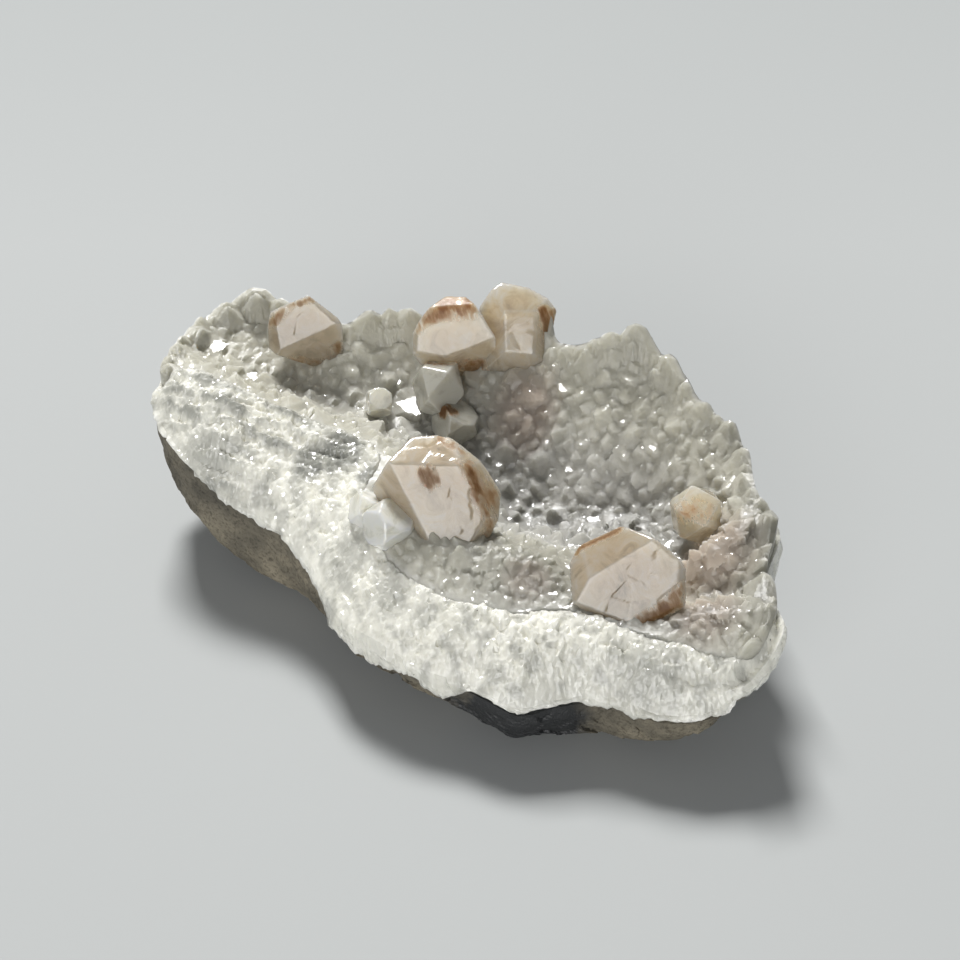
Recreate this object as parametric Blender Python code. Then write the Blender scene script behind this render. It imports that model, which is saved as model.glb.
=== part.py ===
"""Peach apophyllite crystals on drusy quartz, in a broken half nodule of basalt.

Metres, +Z up. The origin lies under the middle of the specimen, on the surface it
rests on. +X runs along its greater width, and the low broken side faces -Y.
Sizes below are in millimetres and are turned into metres where a mesh is made.
"""

import math

import bmesh
import bpy
import numpy as np
from mathutils import Euler, Vector
from mathutils.geometry import delaunay_2d_cdt

MM = 0.001

# Clearance between neighbouring solids, and the thickness of each layer
GAP = 0.35
DRUSE_SLAB = 3.2
WHITE_LAYER = 3.6
LIP_FRONT = 1.6
LIP_BACK = 6.0
EDGE_DROP = 2.6
BAND_ROUGHNESS = 0.55

# Top edge of the broken nodule, counterclockwise from its left tip (x, y, z), and how
# full the rock's side is below it: over 1 stands steep, under 1 is cut away
TOP_EDGE = (
    (-52.0, 24.5, 24.0, 1.4), (-50.5, 20.5, 22.0, 1.5), (-46.0, 14.5, 20.0, 1.6),
    (-40.0, 9.5, 17.5, 1.6), (-32.0, 4.5, 15.5, 1.6), (-26.5, -1.5, 14.0, 1.3),
    (-23.0, -8.0, 13.0, 1.0), (-19.5, -14.5, 12.0, 0.9), (-9.5, -22.0, 11.0, 0.9),
    (-2.0, -25.0, 10.0, 1.1), (6.5, -29.0, 8.5, 1.5), (13.5, -28.0, 9.0, 1.7),
    (20.0, -28.0, 9.5, 1.8), (28.0, -31.0, 9.0, 1.5), (36.0, -31.5, 10.5, 1.0),
    (42.5, -28.0, 15.0, 0.8), (46.5, -24.0, 20.0, 0.8), (46.5, -19.0, 21.0, 0.9),
    (45.5, -12.0, 21.5, 1.0), (48.0, -5.0, 23.0, 1.0), (45.0, 0.5, 25.5, 1.1),
    (44.5, 7.0, 26.5, 1.2), (42.5, 13.5, 28.0, 1.2), (38.0, 17.5, 30.0, 1.2),
    (34.0, 24.5, 32.5, 1.2), (28.0, 30.5, 34.0, 1.2), (21.5, 31.0, 32.0, 1.2),
    (15.5, 33.5, 30.0, 1.2), (13.0, 38.5, 29.5, 1.2), (5.0, 42.5, 29.0, 1.2),
    (-5.0, 42.0, 28.5, 1.2), (-13.5, 41.5, 29.5, 1.2), (-21.0, 40.0, 29.0, 1.2),
    (-28.0, 43.5, 29.0, 1.2), (-36.0, 46.5, 29.0, 1.3), (-43.5, 44.5, 28.5, 1.3),
    (-48.0, 38.5, 28.0, 1.4), (-51.0, 31.0, 27.0, 1.4),
)

# Line where the grey druse stops and the white broken quartz starts (x, y)
DRUSE_EDGE = (
    (-50.0, 28.5), (-44.5, 27.0), (-36.0, 22.5), (-29.0, 19.0), (-20.0, 15.0),
    (-14.5, 10.0), (-17.0, 2.0), (-13.0, -8.5), (-4.5, -15.5), (5.0, -18.5),
    (15.0, -18.5), (25.5, -22.5), (33.0, -25.5), (39.0, -26.5), (43.5, -24.0),
    (45.0, -18.5), (44.2, -12.0), (46.2, -5.0), (43.6, 0.5), (43.0, 7.0),
    (41.0, 12.5), (36.8, 16.5), (32.6, 23.4), (27.4, 29.0), (21.5, 29.6),
    (14.4, 32.6), (11.8, 37.5), (4.6, 41.0), (-5.0, 40.6), (-13.5, 40.0),
    (-21.2, 38.6), (-28.4, 42.0), (-36.0, 44.9), (-42.8, 43.0), (-46.8, 37.6),
    (-49.5, 32.0),
)

# Heights of the broken top between the edges, by region (x, y, z)
LEFT_RIDGE = (
    (-47.0, 27.0, 27.5), (-44.5, 26.5, 28.2), (-40.5, 23.5, 28.0), (-35.0, 21.0, 27.0),
    (-29.0, 18.5, 26.0), (-20.0, 14.5, 25.0), (-13.0, 11.0, 24.5),
)
LEFT_LEDGE = (
    (-41.0, 15.5, 25.0), (-34.0, 16.0, 24.6), (-27.5, 13.5, 23.6), (-19.0, 8.5, 23.0),
    (-43.5, 13.5, 21.0), (-35.5, 10.0, 20.5), (-27.0, 3.0, 18.5), (-18.5, -2.5, 21.5),
    (-20.0, -7.5, 16.5),
)
LEFT_BAY = (
    (-45.5, 37.0, 26.5), (-38.0, 38.5, 25.5), (-38.5, 31.5, 24.5), (-30.5, 36.5, 24.0),
    (-30.0, 29.5, 22.0), (-23.5, 34.0, 23.0), (-23.5, 27.5, 20.5),
)
BACK_WALL = (
    (-14.5, 37.0, 24.5), (-14.5, 32.0, 21.0), (-14.0, 25.0, 18.5), (-5.0, 35.0, 23.5),
    (-4.5, 30.0, 19.5), (-3.5, 25.0, 16.0), (5.0, 33.0, 24.0), (5.0, 28.5, 20.5),
    (5.0, 23.5, 16.0), (15.0, 29.0, 24.5), (15.0, 24.0, 20.0), (15.0, 19.5, 15.0),
)
FLOOR = (
    (5.0, 18.0, 12.0), (6.5, 10.5, 10.0), (15.0, 13.5, 11.0), (14.5, 6.5, 10.5),
    (22.5, 6.0, 12.0), (22.5, 12.0, 13.0), (26.0, -3.0, 13.0),
)
RIGHT_WALL = (
    (21.5, 26.0, 26.5), (21.5, 21.0, 22.5), (21.0, 16.5, 17.5), (29.0, 25.0, 28.5),
    (29.0, 19.5, 24.0), (29.0, 14.5, 19.5), (30.0, 10.0, 15.5), (31.0, 2.0, 14.0),
    (35.5, 15.5, 26.0), (35.0, 11.0, 22.5), (36.0, 5.5, 19.0), (36.5, -3.0, 17.0),
    (41.5, 7.5, 25.0), (41.0, -1.5, 23.5),
)
RIGHT_LUMPS = (
    (40.5, -6.0, 24.0), (36.0, -9.5, 21.5), (42.0, -13.5, 19.5), (37.5, -13.5, 17.5),
    (34.5, -18.5, 20.0), (40.0, -21.5, 21.5), (33.0, -23.5, 18.5), (31.5, -12.5, 14.5),
    (28.5, -9.5, 14.0),
)
FRONT_CREST = (
    (-11.0, -2.0, 23.0), (-4.5, -5.0, 23.0), (4.5, -9.0, 22.5), (11.0, -10.5, 21.5),
    (13.5, -15.0, 19.5), (21.0, -12.0, 17.0), (22.5, -20.0, 18.0),
)
FRONT_BAND = (
    (-10.5, -9.5, 20.5), (-6.0, -15.5, 17.5), (-12.0, -17.0, 15.0), (0.0, -21.5, 15.5),
    (7.5, -17.5, 18.5), (10.5, -22.5, 16.5), (13.5, -26.0, 12.5), (4.5, -26.0, 12.5),
    (19.5, -24.0, 16.0), (27.0, -27.5, 15.0), (34.0, -28.5, 14.5),
)
TOP_SPOTS = (
    LEFT_RIDGE + LEFT_LEDGE + LEFT_BAY + BACK_WALL + FLOOR + RIGHT_WALL
    + RIGHT_LUMPS + FRONT_CREST + FRONT_BAND
)

# Depth of the rock below the zero of the heights above
FOOT_DEPTH = 3.5

# Flat foot that the specimen rests on: an oval turned with the long axis
LONG_AXIS_TURN = math.radians(-29.0)
FOOT_CENTRE = (0.0, 4.0)
FOOT_HALF_LENGTH = 25.0
FOOT_HALF_WIDTH = 13.0
HULL_ROWS = 9
HULL_ROUGHNESS = 0.9

# Meshing: points along the edges, and the spacing of the coarse inner points
EDGE_POINTS = 80
DRUSE_EDGE_POINTS = 88
COARSE_SPACING = 7.5
BAND_SPACING = 3.6

# The plate that the top surface is bent from: its unit of length, and how much it may
# ease away from each spot
PLATE_UNIT = 50.0
PLATE_EASE = 0.0005

# Quartz points of the druse
POINT_SPACING = 2.75
TALL_SPACING = 3.4
POINT_TRIES = 16000
POINT_HEIGHT = (1.3, 2.7)
POINT_LEAN = 0.35
VALLEY_DEPTH = 0.35
# Single tall points on the back edge (x, y, height)
TALL_POINTS = (
    (-36.6, 43.2, 5.6), (-41.6, 41.6, 3.4), (20.0, 28.2, 4.6), (24.4, 28.4, 4.2),
    (28.0, 27.4, 5.4), (-17.0, 38.0, 3.6), (-10.5, 38.4, 3.8), (46.0, -6.0, 3.4),
)

# Large crystals of each node: centre, and each face as the heading and slope of its
# outward direction in degrees and its distance from the centre, faces in front first
LARGE_CRYSTALS = {
    "apophyllite_centre": (
        {
            "centre": (-4.2, 1.4, 24.9),
            "front": (
                (-90, 28, 6.3), (-84, 77, 8.3), (-126, 6, 7.8), (-40, 34, 8.2), (-20, 67, 8.7),
                (-59, 8, 9.3),
            ),
            "back": (
                (96, 24, 6.1), (78, 24, 5.8), (45, 10, 4.8), (50, 14, 4.6), (28, -34, 4.6),
                (146, 24, 8.3), (169, -31, 8.1), (90, -42, 8.0), (0, -90, 5.6),
            ),
        },
    ),
    "apophyllite_front_right": (
        {
            "centre": (24.0, -12.5, 19.6),
            "front": (
                (-93, 31, 5.4), (-145, 60, 6.7), (-157, 39, 7.7), (161, 59, 7.7), (-74, -8, 8.1),
                (-107, -10, 7.6), (-42, 23, 9.6),
            ),
            "back": (
                (99, 5, 4.0), (138, 1, 7.0), (54, 19, 4.3), (47, 15, 4.6), (40, -21, 2.4),
                (157, -47, 4.1), (0, -90, 5.4),
            ),
        },
    ),
    "apophyllite_back_left": (
        {
            "centre": (-27.6, 38.5, 26.5),
            "front": (
                (-90, 33, 4.9), (-76, -1, 4.0), (-60, 50, 6.9), (-123, 24, 6.4),
            ),
            "back": (
                (112, 24, 3.1), (59, 16, 2.6), (40, 4, 3.4), (32, 1, 4.0), (13, -31, 5.6),
                (-163, -59, 3.3), (155, -14, 3.7), (146, -2, 3.8), (90, 0, 3.0), (90, -42, 4.4),
                (0, -90, 3.8),
            ),
        },
    ),
    "apophyllite_back_pair": (
        {
            "centre": (-3.1, 36.8, 27.2),
            "front": (
                (-90, 31, 4.9), (-109, 80, 7.6), (-74, -12, 4.9), (-97, -12, 5.4), (-129, 27, 7.2),
            ),
            "back": (
                (123, 11, 3.0), (85, 17, 3.4), (47, 7, 3.3), (39, 9, 3.7), (133, 8, 2.7),
                (39, -13, 4.2), (148, -20, 2.7), (90, 0, 2.8), (90, -42, 4.6), (0, -90, 5.8),
            ),
        },
        {
            "centre": (8.7, 38.6, 26.9),
            "front": (
                (-90, 36, 5.5), (-90, 61, 6.6), (-51, 27, 5.8), (-93, -3, 6.3), (-134, 26, 6.2),
            ),
            "back": (
                (127, 14, 6.0), (77, 22, 4.8), (58, 16, 4.1), (19, -28, 2.3), (155, -19, 5.0),
                (152, -32, 4.8), (90, 0, 2.8), (90, -42, 4.2), (0, -90, 3.6),
            ),
        },
    ),
}

# Small crystals of each node, simple tetragonal blocks: centre, turn in degrees about
# X, Y, Z, and the distance from the centre of the prism, base and corner faces
SMALL_CRYSTALS = {
    "apophyllite_right": (
        {"centre": (35.6, 0.8, 20.2), "turn": (22, -6, 12), "prism": 3.6, "base": 3.3, "corner": 4.0},
    ),
    "clear_crystal_back": (
        {"centre": (-5.4, 29.6, 22.4), "turn": (-12, 10, 24), "prism": 3.3, "base": 4.2, "corner": 4.1},
    ),
    "clear_crystal_stained": (
        {"centre": (-2.6, 25.8, 18.0), "turn": (14, 24, 30), "prism": 3.0, "base": 2.6, "corner": 3.8},
    ),
    "clear_crystal_cube": (
        {"centre": (-15.2, 27.0, 21.2), "turn": (28, 8, 10), "prism": 1.9, "base": 2.0, "corner": 2.6},
    ),
    "clear_crystals_centre": (
        {"centre": (-12.4, -4.6, 23.0), "turn": (20, 18, 38), "prism": 3.1, "base": 3.0, "corner": 3.9},
        {"centre": (-15.8, -1.2, 23.0), "turn": (-16, 28, 12), "prism": 2.4, "base": 2.4, "corner": 3.0},
    ),
}
CORNER_SLOPE = math.radians(58.0)

# The crystal that each of these small ones grew against, which leaves a dent in it
GROWN_AGAINST = {
    "clear_crystals_centre": "apophyllite_centre",
    "clear_crystal_back": "apophyllite_back_pair",
    "clear_crystal_stained": "clear_crystal_back",
}


def closed_curve(points, count):
    """Smooth closed curve through the points, as count points at even spacing."""
    points = np.array(points, float)
    before = np.roll(points, 1, axis=0)
    after = np.roll(points, -1, axis=0)
    beyond = np.roll(points, -2, axis=0)
    steps = np.linspace(0.0, 1.0, 24, endpoint=False)[:, None]
    pieces = []
    for p0, p1, p2, p3 in zip(before, points, after, beyond):
        slope_in = (p2 - p0) / 2.0
        slope_out = (p3 - p1) / 2.0
        pieces.append(
            (2 * steps**3 - 3 * steps**2 + 1) * p1 + (steps**3 - 2 * steps**2 + steps) * slope_in
            + (3 * steps**2 - 2 * steps**3) * p2 + (steps**3 - steps**2) * slope_out
        )
    fine = np.concatenate(pieces)
    fine = np.concatenate([fine, fine[:1]])
    run = np.concatenate([[0.0], np.cumsum(np.linalg.norm(np.diff(fine, axis=0), axis=1))])
    wanted = np.linspace(0.0, run[-1], count, endpoint=False)
    return np.stack([np.interp(wanted, run, fine[:, axis]) for axis in range(points.shape[1])], 1)


def inside_outline(points, outline):
    """Which of the plan points lie inside the closed outline."""
    x = points[:, 0]
    y = points[:, 1]
    inside = np.zeros(len(points), bool)
    for (x0, y0), (x1, y1) in zip(outline, np.roll(outline, -1, axis=0)):
        if y0 == y1:
            continue
        crosses = (y0 > y) != (y1 > y)
        inside ^= crosses & (x < (x1 - x0) * (y - y0) / (y1 - y0) + x0)
    return inside


def distance_to_outline(points, outline):
    """Plan distance of each point from the nearest side of the closed outline."""
    nearest = np.full(len(points), 1e9)
    for start, end in zip(outline, np.roll(outline, -1, axis=0)):
        side = end - start
        along = np.clip((points - start) @ side / (side @ side), 0.0, 1.0)
        gap = np.linalg.norm(points - start - along[:, None] * side, axis=1)
        nearest = np.minimum(nearest, gap)
    return nearest


def nearest_index(points, others):
    """For each plan point, which of the others lies nearest."""
    return np.linalg.norm(points[:, None] - others[None], axis=2).argmin(axis=1)


def plate_kernel(distance):
    """Kernel of a thin bent plate, r squared times log r."""
    return distance**2 * np.log(distance + 1e-6)


def fit_plate(spots):
    """Bend a thin plate through the spots and return its height function of (x, y)."""
    spots = np.array(spots, float)
    plan = spots[:, :2] / PLATE_UNIT
    count = len(plan)
    gaps = np.linalg.norm(plan[:, None] - plan[None], axis=2)
    flat = np.column_stack([np.ones(count), plan])
    system = np.zeros((count + 3, count + 3))
    system[:count, :count] = plate_kernel(gaps) + PLATE_EASE * np.eye(count)
    system[:count, count:] = flat
    system[count:, :count] = flat.T
    weights = np.linalg.solve(system, np.concatenate([spots[:, 2], np.zeros(3)]))

    def height(points):
        points = np.asarray(points, float)[:, :2] / PLATE_UNIT
        reach = np.linalg.norm(points[:, None] - plan[None], axis=2)
        tilt = np.column_stack([np.ones(len(points)), points]) @ weights[count:]
        return plate_kernel(reach) @ weights[:count] + tilt

    return height


def ripple(points, length, seed):
    """Sum of seeded plane waves in three octaves, about -1 to 1, for broken rock."""
    chance = np.random.default_rng(seed)
    total = np.zeros(len(points))
    for octave in range(3):
        for _ in range(5):
            heading = chance.normal(size=points.shape[1])
            heading *= 2.0 * math.pi * 2**octave / (length * np.linalg.norm(heading))
            total += np.sin(points @ heading + chance.uniform(0.0, 2.0 * math.pi)) / 2**octave
    return total / 4.2


def upward_normals(height, points):
    """Unit normals of the height surface at plan points."""
    step = 0.4
    along_x = (height(points + [step, 0.0]) - height(points - [step, 0.0])) / (2 * step)
    along_y = (height(points + [0.0, step]) - height(points - [0.0, step])) / (2 * step)
    normals = np.column_stack([-along_x, -along_y, np.ones(len(points))])
    return normals / np.linalg.norm(normals, axis=1)[:, None]


def ring_sides(start, count):
    """Pairs of neighbouring indices round a closed ring."""
    return [(start + side, start + (side + 1) % count) for side in range(count)]


def triangles_inside(points, ring_count, sides=()):
    """Triangles over plan points whose first ring_count points are the closed outline.

    The given sides stay edges of the result.
    """
    flat = [Vector(point[:2]) for point in points]
    result = delaunay_2d_cdt(flat, list(sides), [list(range(ring_count))], 1, 1e-5)
    corners, _, faces, sources = result[:4]
    if len(corners) != len(points):
        raise ValueError("plan points too close together")
    return [[sources[corner][0] for corner in face] for face in faces]


def grid_inside(outline, spacing, margin, seed):
    """Staggered grid of plan points at least margin inside the outline, a little shaken."""
    low = outline.min(axis=0)
    high = outline.max(axis=0)
    rows = np.arange(low[1], high[1], spacing * 0.87)
    points = []
    for index, y in enumerate(rows):
        shift = spacing / 2 if index % 2 else 0.0
        for x in np.arange(low[0] + shift, high[0], spacing):
            points.append((x, y))
    points = np.array(points)
    points += np.random.default_rng(seed).uniform(-0.12, 0.12, points.shape) * spacing
    keep = inside_outline(points, outline) & (distance_to_outline(points, outline) > margin)
    return points[keep]


class Top:
    """The broken top of the nodule: its edges and its height over the plan."""

    def __init__(self):
        edge = closed_curve(TOP_EDGE, EDGE_POINTS)
        self.edge_plan = edge[:, :2]
        self.fullness = edge[:, 3]
        self.druse_plan = closed_curve(DRUSE_EDGE, DRUSE_EDGE_POINTS)
        self.height = fit_plate([point[:3] for point in TOP_EDGE + TOP_SPOTS])

    def druse_rim(self, points):
        """1 where the druse runs out to the top edge, falling to 0 where the white band is wide."""
        return np.clip((3.2 - distance_to_outline(points, self.druse_plan)) / 2.0, 0.0, 1.0)

    def white_height(self, points):
        """Height of the white broken layer: rough, and lower where the druse runs to the edge."""
        inset = distance_to_outline(points, self.edge_plan)
        rough = ripple(points, 11.0, 3) * BAND_ROUGHNESS * np.clip(inset / 3.0, 0.15, 1.0)
        drop = EDGE_DROP * self.druse_rim(points) * np.clip(1.6 - inset / 1.4, 0.0, 1.0)
        return self.height(points) + rough - drop

    def white_underside(self, points):
        """Height of the white layer's underside, which follows the hollow at depth."""
        inset = distance_to_outline(points, self.edge_plan)
        share = np.clip(inset / 7.0, 0.0, 1.0)
        share = share * share * (3.0 - 2.0 * share)
        lip = LIP_FRONT + (LIP_BACK - LIP_FRONT) * self.druse_rim(points)
        depth = DRUSE_SLAB + GAP + WHITE_LAYER
        return self.height(points) - (lip + (depth - lip) * share)


def outward_offset(outline, distance):
    """Closed plan outline moved outwards by distance, point by point."""
    tangent = np.roll(outline, -1, axis=0) - np.roll(outline, 1, axis=0)
    normal = np.column_stack([tangent[:, 1], -tangent[:, 0]])
    normal /= np.linalg.norm(normal, axis=1)[:, None]
    area = np.sum(outline[:, 0] * np.roll(outline[:, 1], -1) - np.roll(outline[:, 0], -1) * outline[:, 1])
    return outline + normal * distance * math.copysign(1.0, area)


def make_object(name, points, faces, material):
    """Object from points in millimetres and faces, with its material."""
    mesh = bpy.data.meshes.new(name)
    mesh.from_pydata([tuple(point * MM) for point in np.asarray(points, float)], [], faces)
    mesh.validate()
    mesh.materials.append(material)
    thing = bpy.data.objects.new(name, mesh)
    bpy.context.scene.collection.objects.link(thing)
    return thing


def make_material(name, colour, roughness, clear=0.0):
    """Principled material; clear is the share of light that passes through."""
    material = bpy.data.materials.new(name)
    material.use_nodes = True
    shader = material.node_tree.nodes["Principled BSDF"]
    shader.inputs["Base Color"].default_value = (*colour, 1.0)
    shader.inputs["Roughness"].default_value = roughness
    shader.inputs["Metallic"].default_value = 0.0
    shader.inputs["Transmission Weight"].default_value = clear
    shader.inputs["IOR"].default_value = 1.54
    material.diffuse_color = (*colour, 1.0)
    return material


def build_basalt(top, material):
    """Rock hull: a rough side that curves under to the flat foot, hollow on top."""
    inner = grid_inside(top.edge_plan, COARSE_SPACING, 2.5, 21)
    plan = np.concatenate([top.edge_plan, inner])
    surface = np.column_stack([plan, top.white_underside(plan) - GAP])
    faces = triangles_inside(plan, EDGE_POINTS)

    turn = np.array([
        [math.cos(LONG_AXIS_TURN), -math.sin(LONG_AXIS_TURN)],
        [math.sin(LONG_AXIS_TURN), math.cos(LONG_AXIS_TURN)],
    ])
    half_axes = np.array([FOOT_HALF_LENGTH, FOOT_HALF_WIDTH])
    away = (top.edge_plan - FOOT_CENTRE) @ turn / half_axes
    away /= np.linalg.norm(away, axis=1)[:, None]
    foot = (away * half_axes) @ turn.T + FOOT_CENTRE

    rim = surface[:EDGE_POINTS]
    outward = rim[:, :2] - foot
    outward /= np.linalg.norm(outward, axis=1)[:, None]
    points = [surface]
    previous = np.arange(EDGE_POINTS)
    for row in range(1, HULL_ROWS + 1):
        bend = math.pi / 2.0 * row / HULL_ROWS
        plan_share = (1.0 - math.cos(bend)) ** top.fullness[:, None]
        ring = np.column_stack([
            rim[:, :2] + (foot - rim[:, :2]) * plan_share,
            (rim[:, 2] + FOOT_DEPTH) * (1.0 - math.sin(bend)) - FOOT_DEPTH,
        ])
        rough = ripple(ring, 14.0, 8) * HULL_ROUGHNESS * math.sin(2.0 * bend)
        ring[:, :2] += outward * rough[:, None]
        start = len(surface) + (row - 1) * EDGE_POINTS
        current = np.arange(start, start + EDGE_POINTS)
        for side in range(EDGE_POINTS):
            after = (side + 1) % EDGE_POINTS
            faces.append([previous[side], current[side], current[after], previous[after]])
        points.append(ring)
        previous = current
    faces.append([int(corner) for corner in previous[::-1]])
    return make_object("basalt_rind", np.concatenate(points), faces, material)


def build_white_layer(top, material):
    """White broken quartz: a rough band round the druse, and a bed below it."""
    bed_ring = outward_offset(top.druse_plan, GAP)
    band_ring = outward_offset(top.druse_plan, GAP + 0.15)
    band = grid_inside(top.edge_plan, BAND_SPACING, 1.3, 31)
    clear = distance_to_outline(band, band_ring) > 1.3
    band = band[~inside_outline(band, band_ring) & clear]
    bed = grid_inside(top.druse_plan, COARSE_SPACING, 2.5, 22)
    rim_points = np.concatenate([top.edge_plan, band_ring, band])
    bed_points = np.concatenate([bed_ring, bed])
    plan = np.concatenate([rim_points, bed_points])
    heights = np.concatenate([
        top.white_height(rim_points),
        top.height(bed_points) - DRUSE_SLAB - GAP,
    ])
    sides = ring_sides(EDGE_POINTS, DRUSE_EDGE_POINTS)
    sides += ring_sides(len(rim_points), DRUSE_EDGE_POINTS)
    faces = triangles_inside(plan, EDGE_POINTS, sides)

    below = np.concatenate([
        top.edge_plan,
        grid_inside(top.edge_plan, COARSE_SPACING, 2.5, 21),
    ])
    start = len(plan)
    for face in triangles_inside(below, EDGE_POINTS):
        faces.append([start + corner for corner in face[::-1]])
    for side in range(EDGE_POINTS):
        after = (side + 1) % EDGE_POINTS
        faces.append([side, start + side, start + after, after])
    points = np.concatenate([
        np.column_stack([plan, heights]),
        np.column_stack([below, top.white_underside(below)]),
    ])
    return make_object("white_quartz_layer", points, faces, material)


def crystal_reaches():
    """Centre and mean half width of every crystal."""
    for crystals in list(LARGE_CRYSTALS.values()) + list(SMALL_CRYSTALS.values()):
        for crystal in crystals:
            if "front" in crystal:
                distances = [face[2] for face in crystal["front"] + crystal["back"]]
            else:
                distances = [crystal["prism"], crystal["base"], crystal["corner"]]
            yield np.array(crystal["centre"]), sum(distances) / len(distances)


def druse_seeds(top):
    """Plan points of the quartz points' tips, spaced in space and not in plan."""
    chance = np.random.default_rng(5)
    low = top.druse_plan.min(axis=0)
    high = top.druse_plan.max(axis=0)
    tries = chance.uniform(low, high, (POINT_TRIES, 2))
    tries = tries[inside_outline(tries, top.druse_plan)]
    tries = tries[distance_to_outline(tries, top.druse_plan) > POINT_SPACING * 0.55]
    tall = np.array(TALL_POINTS)
    tries = np.concatenate([tall[:, :2], tries])
    places = np.column_stack([tries, top.height(tries)])
    clear = np.ones(len(places), bool)
    for centre, reach in crystal_reaches():
        clear &= np.linalg.norm(places - centre, axis=1) > reach
    clear[:len(tall)] = True
    places = places[clear]
    spacing = POINT_SPACING * (1.0 + 0.22 * ripple(places, 26.0, 6))
    spacing[:len(tall)] = TALL_SPACING
    kept = [0]
    for index in range(1, len(places)):
        gaps = np.linalg.norm(places[kept] - places[index], axis=1)
        if np.all(gaps > (spacing[index] + spacing[kept]) / 2.0):
            kept.append(index)
    return places[kept], spacing[kept]


def build_druse(top, material):
    """Crust of quartz points: each tip fans down to the valleys around it."""
    chance = np.random.default_rng(9)
    seeds, spacing = druse_seeds(top)
    ring = DRUSE_EDGE_POINTS
    plan = np.concatenate([top.druse_plan, seeds[:, :2]])
    cells = triangles_inside(plan, ring)
    normals = upward_normals(top.height, plan)

    tips = np.column_stack([plan, top.height(plan)])
    low, high = POINT_HEIGHT
    rise = chance.uniform(low, high, len(plan))
    rise[ring:] *= spacing / POINT_SPACING
    rise[:ring] *= top.druse_rim(top.edge_plan)[nearest_index(top.druse_plan, top.edge_plan)]
    lean = chance.uniform(-POINT_LEAN, POINT_LEAN, (len(plan), 3)) * rise[:, None]
    lean[:ring] = 0.0
    growth = normals * rise[:, None] + lean
    growth[:ring] = np.outer(rise[:ring], (0.0, 0.0, 1.0))
    for x, y, tall in TALL_POINTS:
        growth[np.linalg.norm(plan - (x, y), axis=1) < 0.1] = (0.0, 0.0, tall)
    tips += growth

    valley_plan = np.array([plan[cell].mean(axis=0) for cell in cells])
    valleys = np.column_stack([valley_plan, top.height(valley_plan) - VALLEY_DEPTH])
    start = len(plan)
    faces = []
    open_sides = {}
    for number, cell in enumerate(cells):
        for first, second in zip(cell, cell[1:] + cell[:1]):
            open_sides.setdefault((min(first, second), max(first, second)), []).append(
                (first, second, start + number)
            )
    for sides in open_sides.values():
        first, second, valley = sides[0]
        if len(sides) == 1:
            faces.append([first, second, valley])
            continue
        other = sides[1][2]
        faces.append([first, other, valley])
        faces.append([second, valley, other])

    bed = grid_inside(top.druse_plan, COARSE_SPACING, 2.5, 22)
    below = np.concatenate([top.druse_plan, bed])
    base = start + len(valleys)
    for face in triangles_inside(below, ring):
        faces.append([base + corner for corner in face[::-1]])
    for side in range(ring):
        after = (side + 1) % ring
        faces.append([side, base + side, base + after, after])
    points = np.concatenate([
        tips,
        valleys,
        np.column_stack([below, top.height(below) - DRUSE_SLAB]),
    ])
    return make_object("quartz_druse", points, faces, material)


def cleave(block, normal, distance):
    """Cut away what lies beyond a plane and close the cut with a flat face."""
    result = bmesh.ops.bisect_plane(
        block,
        geom=block.verts[:] + block.edges[:] + block.faces[:],
        plane_co=normal * distance,
        plane_no=normal,
        clear_outer=True,
    )
    cut = [item for item in result["geom_cut"] if isinstance(item, bmesh.types.BMEdge)]
    if cut:
        bmesh.ops.contextual_create(block, geom=cut)


def direction(heading, slope):
    """Unit vector with the heading and slope, both in degrees."""
    heading = math.radians(heading)
    slope = math.radians(slope)
    level = math.cos(slope)
    return Vector((level * math.cos(heading), level * math.sin(heading), math.sin(slope)))


def large_faces(crystal):
    """Outward directions and distances of a large crystal's faces."""
    return [
        (direction(heading, slope), distance)
        for heading, slope, distance in crystal["front"] + crystal["back"]
    ]


def small_faces(crystal):
    """Outward directions and distances of a block's prism, base and corner faces."""
    planes = []
    for x, y in ((1, 0), (-1, 0), (0, 1), (0, -1)):
        planes.append((Vector((x, y, 0)), crystal["prism"]))
    for z in (1, -1):
        planes.append((Vector((0, 0, z)), crystal["base"]))
        for x, y in ((1, 1), (-1, 1), (-1, -1), (1, -1)):
            level = math.sin(CORNER_SLOPE) * math.sqrt(0.5)
            outward = Vector((x * level, y * level, z * math.cos(CORNER_SLOPE)))
            planes.append((outward, crystal["corner"]))
    turn = Euler([math.radians(angle) for angle in crystal["turn"]]).to_matrix()
    return [(turn @ outward, distance) for outward, distance in planes]


def crystal_mesh(name, crystal, grow):
    """Mesh of one crystal cleaved from a block, each face moved out by grow."""
    block = bmesh.new()
    bmesh.ops.create_cube(block, size=80.0)
    faces = large_faces(crystal) if "front" in crystal else small_faces(crystal)
    for outward, distance in faces:
        cleave(block, outward, distance + grow)
    for corner in block.verts:
        corner.co = (corner.co + Vector(crystal["centre"])) * MM
    mesh = bpy.data.meshes.new(name)
    block.to_mesh(mesh)
    block.free()
    return mesh


def add_mesh_object(name, mesh, material):
    """Object that shows a mesh with one material."""
    mesh.materials.append(material)
    thing = bpy.data.objects.new(name, mesh)
    bpy.context.scene.collection.objects.link(thing)
    return thing


def use_as_tool(thing, tool, operation):
    """Cut one object with another, or join it on, and leave the tool out of the model."""
    tool.hide_render = True
    tool.display_type = "WIRE"
    step = thing.modifiers.new(operation.lower() + " " + tool.name, "BOOLEAN")
    step.operation = operation
    step.object = tool
    step.solver = "EXACT"


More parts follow.
